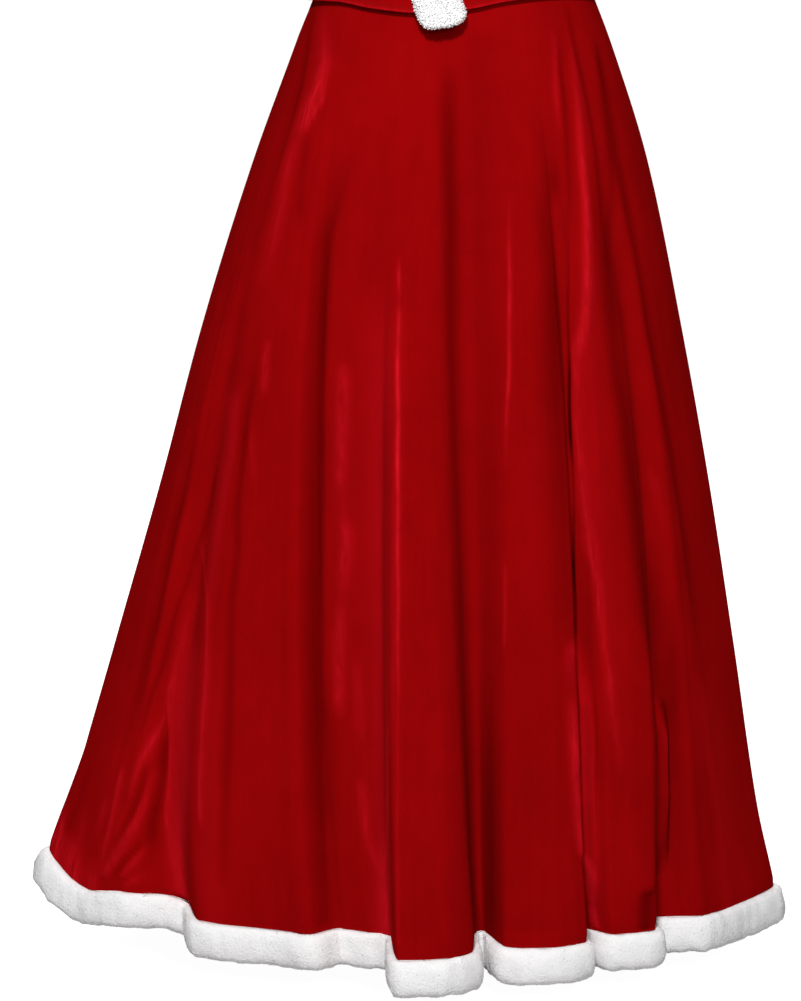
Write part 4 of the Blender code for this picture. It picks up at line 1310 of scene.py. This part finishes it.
def over_skirt(drop):
    """How far the bodice lies outside the form: clear of the skirt, then flaring to its edge."""
    seat = ease(drop / SKIRT_TOP_DROP) * (WALL + SKIRT_CLEARANCE)
    past = np.maximum(drop - SKIRT_TOP_DROP, 0.0) / (edge_drop(True, 0.0) - SKIRT_TOP_DROP)
    return seat + BODICE_FLARE * past


def on_bodice(front, x, z):
    """The bodice's outer face at places across and heights. The cloth rounds over to the
    shoulder seam in the last SHOULDER_ROUND below it."""
    drop = WAIST_Z - z
    section = form_at(drop)
    reach = np.where(x > 0, section["right"], section["left"])
    angle = np.degrees(np.arcsin(np.clip(x / reach, -1, 1)))
    points = moved_out(drop, angle if front else 180 - angle, over_skirt(drop))
    slope = (NECK_END[1] - SHOULDER_END[1]) / (SHOULDER_END[0] - NECK_END[0])
    below = NECK_END[1] - slope * (np.abs(x) - NECK_END[0]) - z
    rounded = 1 - np.clip(below / SHOULDER_ROUND, 0.0, 1.0)
    depth = (points[..., 1] - section["middle"]) * np.sqrt(1 - rounded**2)
    points[..., 1] = section["middle"] + depth
    return points


def column_angle(c, reach):
    """The angle of a column from the centre, 0, to the side, 1. Those up to STRIP_SHARE lie
    under the plush strip."""
    strip = np.degrees(np.arcsin(STRIP_HALF_WIDTH / reach))
    outer = strip + (90 - strip) * (c - STRIP_SHARE) / (1 - STRIP_SHARE)
    return np.where(c <= STRIP_SHARE, strip * c / STRIP_SHARE, outer)


def neck_and_underarm(front):
    """The lowest point of a panel's neck, and of its left armhole: across, and height."""
    neck_drop = FRONT_NECK_DROP if front else BACK_NECK_DROP
    return (0.0, WAIST_Z - neck_drop), (form_at(UNDERARM_DROP)["right"], WAIST_Z - UNDERARM_DROP)


def bodice_row(front, half, c, part, at):
    """A row of one half of a panel. In the upper part at runs from 0 at the underarm to 1 at
    the shoulder, in the lower part it is the drop, and in the edge it runs from 0 to 1."""
    if part == "upper":
        side = "front" if front else "back"
        neck, underarm = neck_and_underarm(front)
        inner = np.array([0.0, underarm[1] + (neck[1] - underarm[1]) * min(at / NECK_SHARE, 1.0)])
        if at > NECK_SHARE:
            inner = curve_point(neck, NECK_HANDLES[side], NECK_END, (at - NECK_SHARE) / (1 - NECK_SHARE))
        outer = curve_point(underarm, ARMHOLE_HANDLES[side], SHOULDER_END, at)
        x, z = (inner + (outer - inner) * np.sin(np.radians(column_angle(c, outer[0])))[:, None]).T
        return on_bodice(front, x * half, z)
    drop = at if part == "lower" else SKIRT_TOP_DROP
    reach = form_at(drop)["right" if half > 0 else "left"]
    angle = column_angle(c, reach) * half
    if front:
        lean = CENTRE_LEAN * (drop - UNDERARM_DROP) / (SKIRT_TOP_DROP - UNDERARM_DROP)
        angle = angle + lean * (1 - c)
    if part == "edge":
        drop = drop + (edge_drop(front, reach * np.sin(np.radians(angle))) - drop) * at
    return moved_out(drop, angle if front else 180 - angle, over_skirt(drop))


def distance_from(points, edge):
    """Each point's distance to the nearest of the edge's points."""
    tree = KDTree(len(edge))
    for k, place in enumerate(edge):
        tree.insert(place, k)
    tree.balance()
    return np.array([tree.find(p)[2] for p in points])


def wrinkles_at(x, z, wrinkles):
    """How far the wrinkles stand out, in mm, at places across and heights."""
    total = np.zeros_like(x)
    for wrinkle in wrinkles:
        path = np.array(wrinkle["path"])
        way = path[-1] - path[0]
        length = np.linalg.norm(way)
        along = ((x - path[0, 0]) * way[0] + (z - path[0, 1]) * way[1]) / length**2
        bend = np.array([(p - path[0]) @ (way[1], -way[0]) / length for p in path])
        places = np.array([(p - path[0]) @ way / length**2 for p in path])
        off = ((x - path[0, 0]) * way[1] - (z - path[0, 1]) * way[0]) / length
        off = off - smooth_curve(places, bend, along)
        start = ease((along + WRINKLE_PAST) / WRINKLE_RISE)
        ends = start * ease((1 + WRINKLE_PAST - along) / WRINKLE_RISE)
        total += wrinkle["high"] * np.exp(-((off * 1000 / wrinkle["wide"]) ** 2)) * ends
    return total


def bodice_panel(name, front, wrinkles):
    """One bodice panel. Its halves share the centre column up to the neck, and part there."""
    n = BODICE_COLUMNS
    c = np.linspace(0, 1, n + 1)
    rows = [("upper", math.sin(math.radians(90 * s))) for s in np.linspace(1, 0, UPPER_ROWS + 1)]
    rows += [("lower", drop) for drop in np.linspace(UNDERARM_DROP, SKIRT_TOP_DROP, LOWER_ROWS + 1)[1:]]
    rows += [("edge", past) for past in np.linspace(0, 1, EDGE_ROWS + 1)[1:]]
    first = -1 if front else 1
    halves = [np.stack([bodice_row(front, half, c, *row) for row in rows]) for half in (first, -first)]
    points = np.concatenate([halves[0][:, ::-1], halves[1]], axis=1)
    armhole_rows = UPPER_ROWS + 1
    neck_rows = sum(part == "upper" and at > NECK_SHARE + 1e-6 for part, at in rows)
    index = np.arange(points.shape[0] * points.shape[1]).reshape(points.shape[:2])
    sides = index[:, [0, -1]]
    seam = np.concatenate([sides[armhole_rows - 1 :].ravel(), index[0]])
    free = [sides[:armhole_rows].ravel(), index[: neck_rows + 1, n : n + 2].ravel(), index[-1]]
    index[neck_rows:, n + 1] = index[neck_rows:, n]
    columns = [k for k in range(2 * n + 1) if k != n]
    quads = [index[:-1, :-1], index[1:, :-1], index[1:, 1:], index[:-1, 1:]]
    faces = np.stack([corner[:, columns].ravel() for corner in quads], -1)

    points = points.reshape(-1, 3)
    points[seam, 1] = form_at(WAIST_Z - points[seam, 2])["middle"]
    along = np.linalg.norm(np.diff(points.reshape(len(rows), -1, 3), axis=1), axis=2)
    across = np.concatenate([np.zeros((len(rows), 1)), np.cumsum(along, axis=1)], axis=1)
    across = (across - across[:, n : n + 1]).ravel()
    used, places = np.unique(faces, return_inverse=True)
    faces = places.reshape(faces.shape)
    seam = np.nonzero(np.isin(used, seam))[0]
    free = np.nonzero(np.isin(used, np.concatenate(free)))[0]
    level = np.nonzero(np.isin(used, index[-1]))[0]
    points, across = points[used], across[used]

    from_free = distance_from(points, points[free])
    from_seam = distance_from(points, points[seam])
    turned_in = HEM_THICK * ease((HEM_TURN + HEM_STEP - from_free) / HEM_STEP)
    turned_in *= ease(EDGE_THIN + from_free / EDGE_ROUND)
    height = wrinkles_at(points[:, 0], points[:, 2], wrinkles)
    full = ease((from_free - FLAT_AT_EDGE) / FULL_FROM_EDGE)
    height *= full * ease((from_seam - FLAT_AT_SEAM) / FULL_FROM_SEAM)
    normal = vertex_normals(points, faces)
    normal[seam, 1] = 0.0
    at_seam = BODICE_SEAM_SINK * np.exp(-((from_seam / SEAM_SINK_REACH) ** 2))
    points = points + unit(normal) * (turned_in + height / 1000 - at_seam)[:, None]
    from_edge = distance_from(points, points[level]) * 1000
    none = np.zeros(len(points))
    # The lower edge's painted highlight line, painted light on the wrinkles' ridges and painted shade in
    # their hollows.
    nap = np.stack([from_edge - EDGE_SHINE, none + EDGE_BRIGHT, height * WRINKLE_PAINTED_LIGHT], -1)
    dent = np.stack([none + LINE_REACH, none, none + BODICE_PATCHY], -1)
    uv = np.stack([across, -points[:, 2]], -1)
    return cloth_shell(name, points, faces, uv, nap, dent, seam.tolist(), level.tolist())


def thread_object():
    """One stitch as it lies on the cloth: a short fat thread with four sides."""
    points = [(-0.5 * STITCH_LENGTH, 0.0, 0.0)]
    for along, thick in ((-0.36, 0.8), (0.0, 1.0), (0.36, 0.8)):
        for y, z in ((-1, 0), (0, -1), (1, 0), (0, 1)):
            place = (along * STITCH_LENGTH, y * thick * STITCH_THREAD / 2, z * thick * STITCH_THREAD / 2)
            points.append(place)
    points.append((0.5 * STITCH_LENGTH, 0.0, 0.0))
    faces = []
    for k in range(4):
        right = (k + 1) % 4
        faces.append((0, 1 + right, 1 + k))
        for row in (1, 5):
            faces.append((row + k, row + right, row + right + 4, row + k + 4))
        faces.append((9 + k, 9 + right, 13))
    mesh = bpy.data.meshes.new("stitch")
    mesh.from_pydata(points, [], faces)
    return bpy.data.objects.new("stitch", mesh)


def thread_finish():
    """Red sewing thread, a shade darker than the velvet, with a slight twist."""
    finish = Finish("red_thread", Roughness=0.55, Specular_IOR_Level=0.25)
    place = finish.node("ShaderNodeTexCoord", {}, {}, "Object")
    twist = finish.noise(place, (1.0, 1.0, 1.0), 1500.0, 1.0)
    red = finish.blend(twist, (0.10, 0.001, 0.001, 1), (0.20, 0.002, 0.003, 1))
    return finish.finished(Base_Color=red)


def stitch_tree():
    """Lays a stitch on every point, along its line of sewing and flat on the cloth."""
    tree = new_tree("edge_sewing", ["Smallest", "Largest"])
    given = tree_node(tree, "NodeGroupInput", {}).outputs
    stitch = tree_node(tree, "GeometryNodeObjectInfo", {"Object": given["Repeated"], "As Instance": True})
    lines = {}
    for line in ("out", "along"):
        read = {"Name": line}
        lines[line] = tree_node(tree, "GeometryNodeInputNamedAttribute", read, data_type="FLOAT_VECTOR")
    turn = tree_node(
        tree,
        "FunctionNodeAxesToRotation",
        {"Primary Axis": lines["out"].outputs[0], "Secondary Axis": lines["along"].outputs[0]},
        primary_axis="Z",
        secondary_axis="X",
    )
    placed = laid_on(tree, given["Geometry"], stitch, turn, given, 9)
    return end_tree(tree, placed, thread_finish())


def edge_lines(front):
    """The lines that the edge stitches follow: along the lower edge, the neck and both
    armholes, each a little inside its edge."""
    side = "front" if front else "back"
    t = np.linspace(0, 1, 200)
    ends = BODICE_EDGE[0][0] + STITCH_MARGINS[0], BODICE_EDGE[-1][0] - STITCH_MARGINS[1]
    x = np.linspace(*ends, 400)
    lines = [on_bodice(front, x, WAIST_Z - edge_drop(front, x) + LOWER_STITCH_IN)]
    neck, underarm = neck_and_underarm(front)
    neck_line = curve_point(neck, NECK_HANDLES[side], NECK_END, t)
    armhole_line = curve_point(underarm, ARMHOLE_HANDLES[side], SHOULDER_END, t)
    for line, turn in ((neck_line, 1), (armhole_line, -1)):
        way = unit(np.gradient(line, axis=0))
        inside = line + turn * STITCH_IN * np.stack([way[:, 1], -way[:, 0]], -1)
        for half in (-1, 1):
            lines.append(on_bodice(front, inside[3:-3, 0] * half, inside[3:-3, 1]))
    return lines


def edge_stitches(name, panel, front):
    """The stitches along a panel's edges, but for those that the plush strip covers."""
    places, out, along = [], [], []
    for line in edge_lines(front):
        lengths = length_along(line)
        even = np.arange(STITCH_STEP / 2, lengths[-1], STITCH_STEP)
        spots = np.stack([np.interp(even, lengths, line[:, k]) for k in range(3)], -1)
        for spot, way in zip(spots, np.gradient(spots, axis=0)):
            if front and abs(spot[0]) < STRIP_HALF_WIDTH + STITCH_CLEAR_OF_STRIP:
                continue
            beside = spot + STITCH_LOOK * np.array([0.0, -1.0 if front else 1.0, 0.0])
            _, place, normal, _ = panel.closest_point_on_mesh(beside)
            places.append(place)
            out.append(normal)
            along.append(way)
    mesh = bpy.data.meshes.new(name)
    mesh.from_pydata(places, [], [])
    for line, values in (("out", out), ("along", along)):
        layer = mesh.attributes.new(line, "FLOAT_VECTOR", "POINT")
        layer.data.foreach_set("vector", np.array(values, float).ravel())
    obj = new_object(name, mesh)
    grown(obj, sewing_tree, stitch, Smallest=0.9, Largest=1.08)
    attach(obj, "root")
    return obj


sewing_tree = stitch_tree()
stitch = thread_object()
bodice_front = bodice_panel("bodice_front_velvet", True, FRONT_WRINKLES)
front_stitches = edge_stitches("bodice_front_stitches", bodice_front, True)
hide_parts("bodice_front")
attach(bodice_front, "root")

# Bodice back: the same cut with a higher neck and a straight lower edge, sewn to the front at
# the shoulders and sides. The stretch velvet wrinkles a little in the small of the back.
BACK_WRINKLES = [
    dict(path=[(-.120, -.360), (-.070, -.376), (-.016, -.372)], wide=8, high=2.2),
    dict(path=[(-.104, -.392), (-.052, -.402), (-.004, -.394)], wide=7, high=-2.4),
    dict(path=[(.128, -.352), (.078, -.372), (.022, -.380)], wide=8, high=2.0),
    dict(path=[(.126, -.386), (.084, -.398), (.036, -.402)], wide=7, high=-2.2),
    dict(path=[(-.096, -.420), (-.050, -.428), (-.018, -.424)], wide=7, high=1.6),
    dict(path=[(.120, -.410), (.090, -.420), (.056, -.424)], wide=6, high=1.5),
    dict(path=[(-.030, -.270), (-.026, -.318), (-.030, -.360)], wide=11, high=-1.6),
    dict(path=[(.036, -.262), (.030, -.310), (.034, -.352)], wide=12, high=-1.7),
    dict(path=[(-.144, -.206), (-.106, -.226), (-.072, -.232)], wide=9, high=-1.8),
    dict(path=[(.148, -.204), (.112, -.220), (.078, -.230)], wide=9, high=-1.6),
]

bodice_back = bodice_panel("bodice_back_velvet", False, BACK_WRINKLES)
back_stitches = edge_stitches("bodice_back_stitches", bodice_back, False)
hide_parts("bodice_back")
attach(bodice_back, "root")

# Front strip: a folded strip of the hem's plush, sewn down the middle of the bodice from the
# neck. Its lower end hangs free below the bodice's edge and is turned under at a slant.
STRIP_THICKNESS = 0.011
STRIP_LUMPS = 0.0005
STRIP_ROWS = 96

# Both ends of the strip: how far in they round off, the rings there, and what share of the
# width and of the thickness about STRIP_MIDDLE is left at the very end.
STRIP_END_ROUND = 0.008
STRIP_END_RINGS = [0.0, 0.0012, 0.0028, 0.0050, 0.0080]
STRIP_END_WIDTH = 0.90
STRIP_END_THICK = 0.25
STRIP_MIDDLE = 0.4

# The strip stands out from the middle of the dress, more to the front than to the sides.
STRIP_FACING = (1.0, 1.6, 0.0)
STRIP_TUFT_LENGTH = 0.0018
STRIP_TUFT_WIDTH = 0.0021
STRIP_TUFT_SPACING = 0.0013

# The strip's section: across from edge to edge, its share of the thickness, and how thickly
# the tufts stand.
STRIP_SECTION = [
    (-0.97, 0.06, 0.5), (-1.0, 0.26, 1.0), (-0.96, 0.50, 1.0), (-0.84, 0.74, 1.0), (-0.64, 0.90, 1.0),
    (-0.34, 0.98, 1.0), (0.0, 1.0, 1.0), (0.34, 0.98, 1.0), (0.64, 0.90, 1.0), (0.84, 0.74, 1.0),
    (0.96, 0.50, 1.0), (1.0, 0.26, 1.0), (0.97, 0.06, 0.5), (0.6, 0.0, 0.1), (0.2, 0.0, 0.1),
    (-0.2, 0.0, 0.1), (-0.6, 0.0, 0.1),
]

# Its two side edges: drop below the waist, and x of the left and right edge.
STRIP_SIDES = [
    (-0.295, -0.0235, 0.0235), (-0.200, -0.0240, 0.0240), (-0.060, -0.0255, 0.0232),
    (0.050, -0.0278, 0.0190), (0.0715, -0.0277, 0.0188), (0.0855, -0.0236, 0.0237),
    (0.0955, -0.0207, 0.0245), (0.1010, -0.0200, 0.0245),
]

# Its lower end: across from edge to edge, and the drop there.
STRIP_END = [
    (-1.0, 0.0955), (-0.85, 0.0985), (-0.62, 0.1000), (-0.20, 0.0996), (0.20, 0.0985),
    (0.58, 0.0955), (0.86, 0.0905), (1.0, 0.0855),
]


def front_strip():
    """The padded strip from the neck to its lower end: rings down the bodice that narrow and
    flatten towards both ends."""
    across, thick, cover = np.array(STRIP_SECTION).T
    length = STRIP_END[3][1] - FRONT_NECK_DROP
    ends = np.array(STRIP_END_RINGS) / length
    places = np.concatenate([ends, np.linspace(0, 1, STRIP_ROWS)[3:-3], 1 - ends[::-1]])
    drops, left, right = zip(*STRIP_SIDES)
    rings = []
    for at in places:
        near_end = min(at, 1 - at) * length / STRIP_END_ROUND
        full = math.sqrt(1 - (1 - min(near_end, 1.0)) ** 2)
        spread = across * (STRIP_END_WIDTH + (1 - STRIP_END_WIDTH) * full)
        drop = FRONT_NECK_DROP + (smooth_curve(*zip(*STRIP_END), spread) - FRONT_NECK_DROP) * at
        edges = smooth_curve(drops, left, drop), smooth_curve(drops, right, drop)
        x = edges[0] + (edges[1] - edges[0]) * (spread + 1) / 2
        ring = on_bodice(True, x, WAIST_Z - drop)
        out = unit(ring * STRIP_FACING)
        kept = STRIP_END_THICK + (1 - STRIP_END_THICK) * full
        rounded = STRIP_MIDDLE + (thick - STRIP_MIDDLE) * kept
        lift = HEM_THICK + STRIP_THICKNESS * rounded
        rings.append(ring + out * lift[:, None])
    return padded_strip("plush_front_strip", rings, cover, STRIP_LUMPS)


strip = front_strip()
strip_tuft = tuft_object(STRIP_TUFT_LENGTH, STRIP_TUFT_WIDTH)
grown(strip, pile_tree, strip_tuft, Spacing=STRIP_TUFT_SPACING, Lean=0.7, Smallest=0.7, Largest=1.1)
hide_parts("front_fur_strip")
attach(strip, "root")
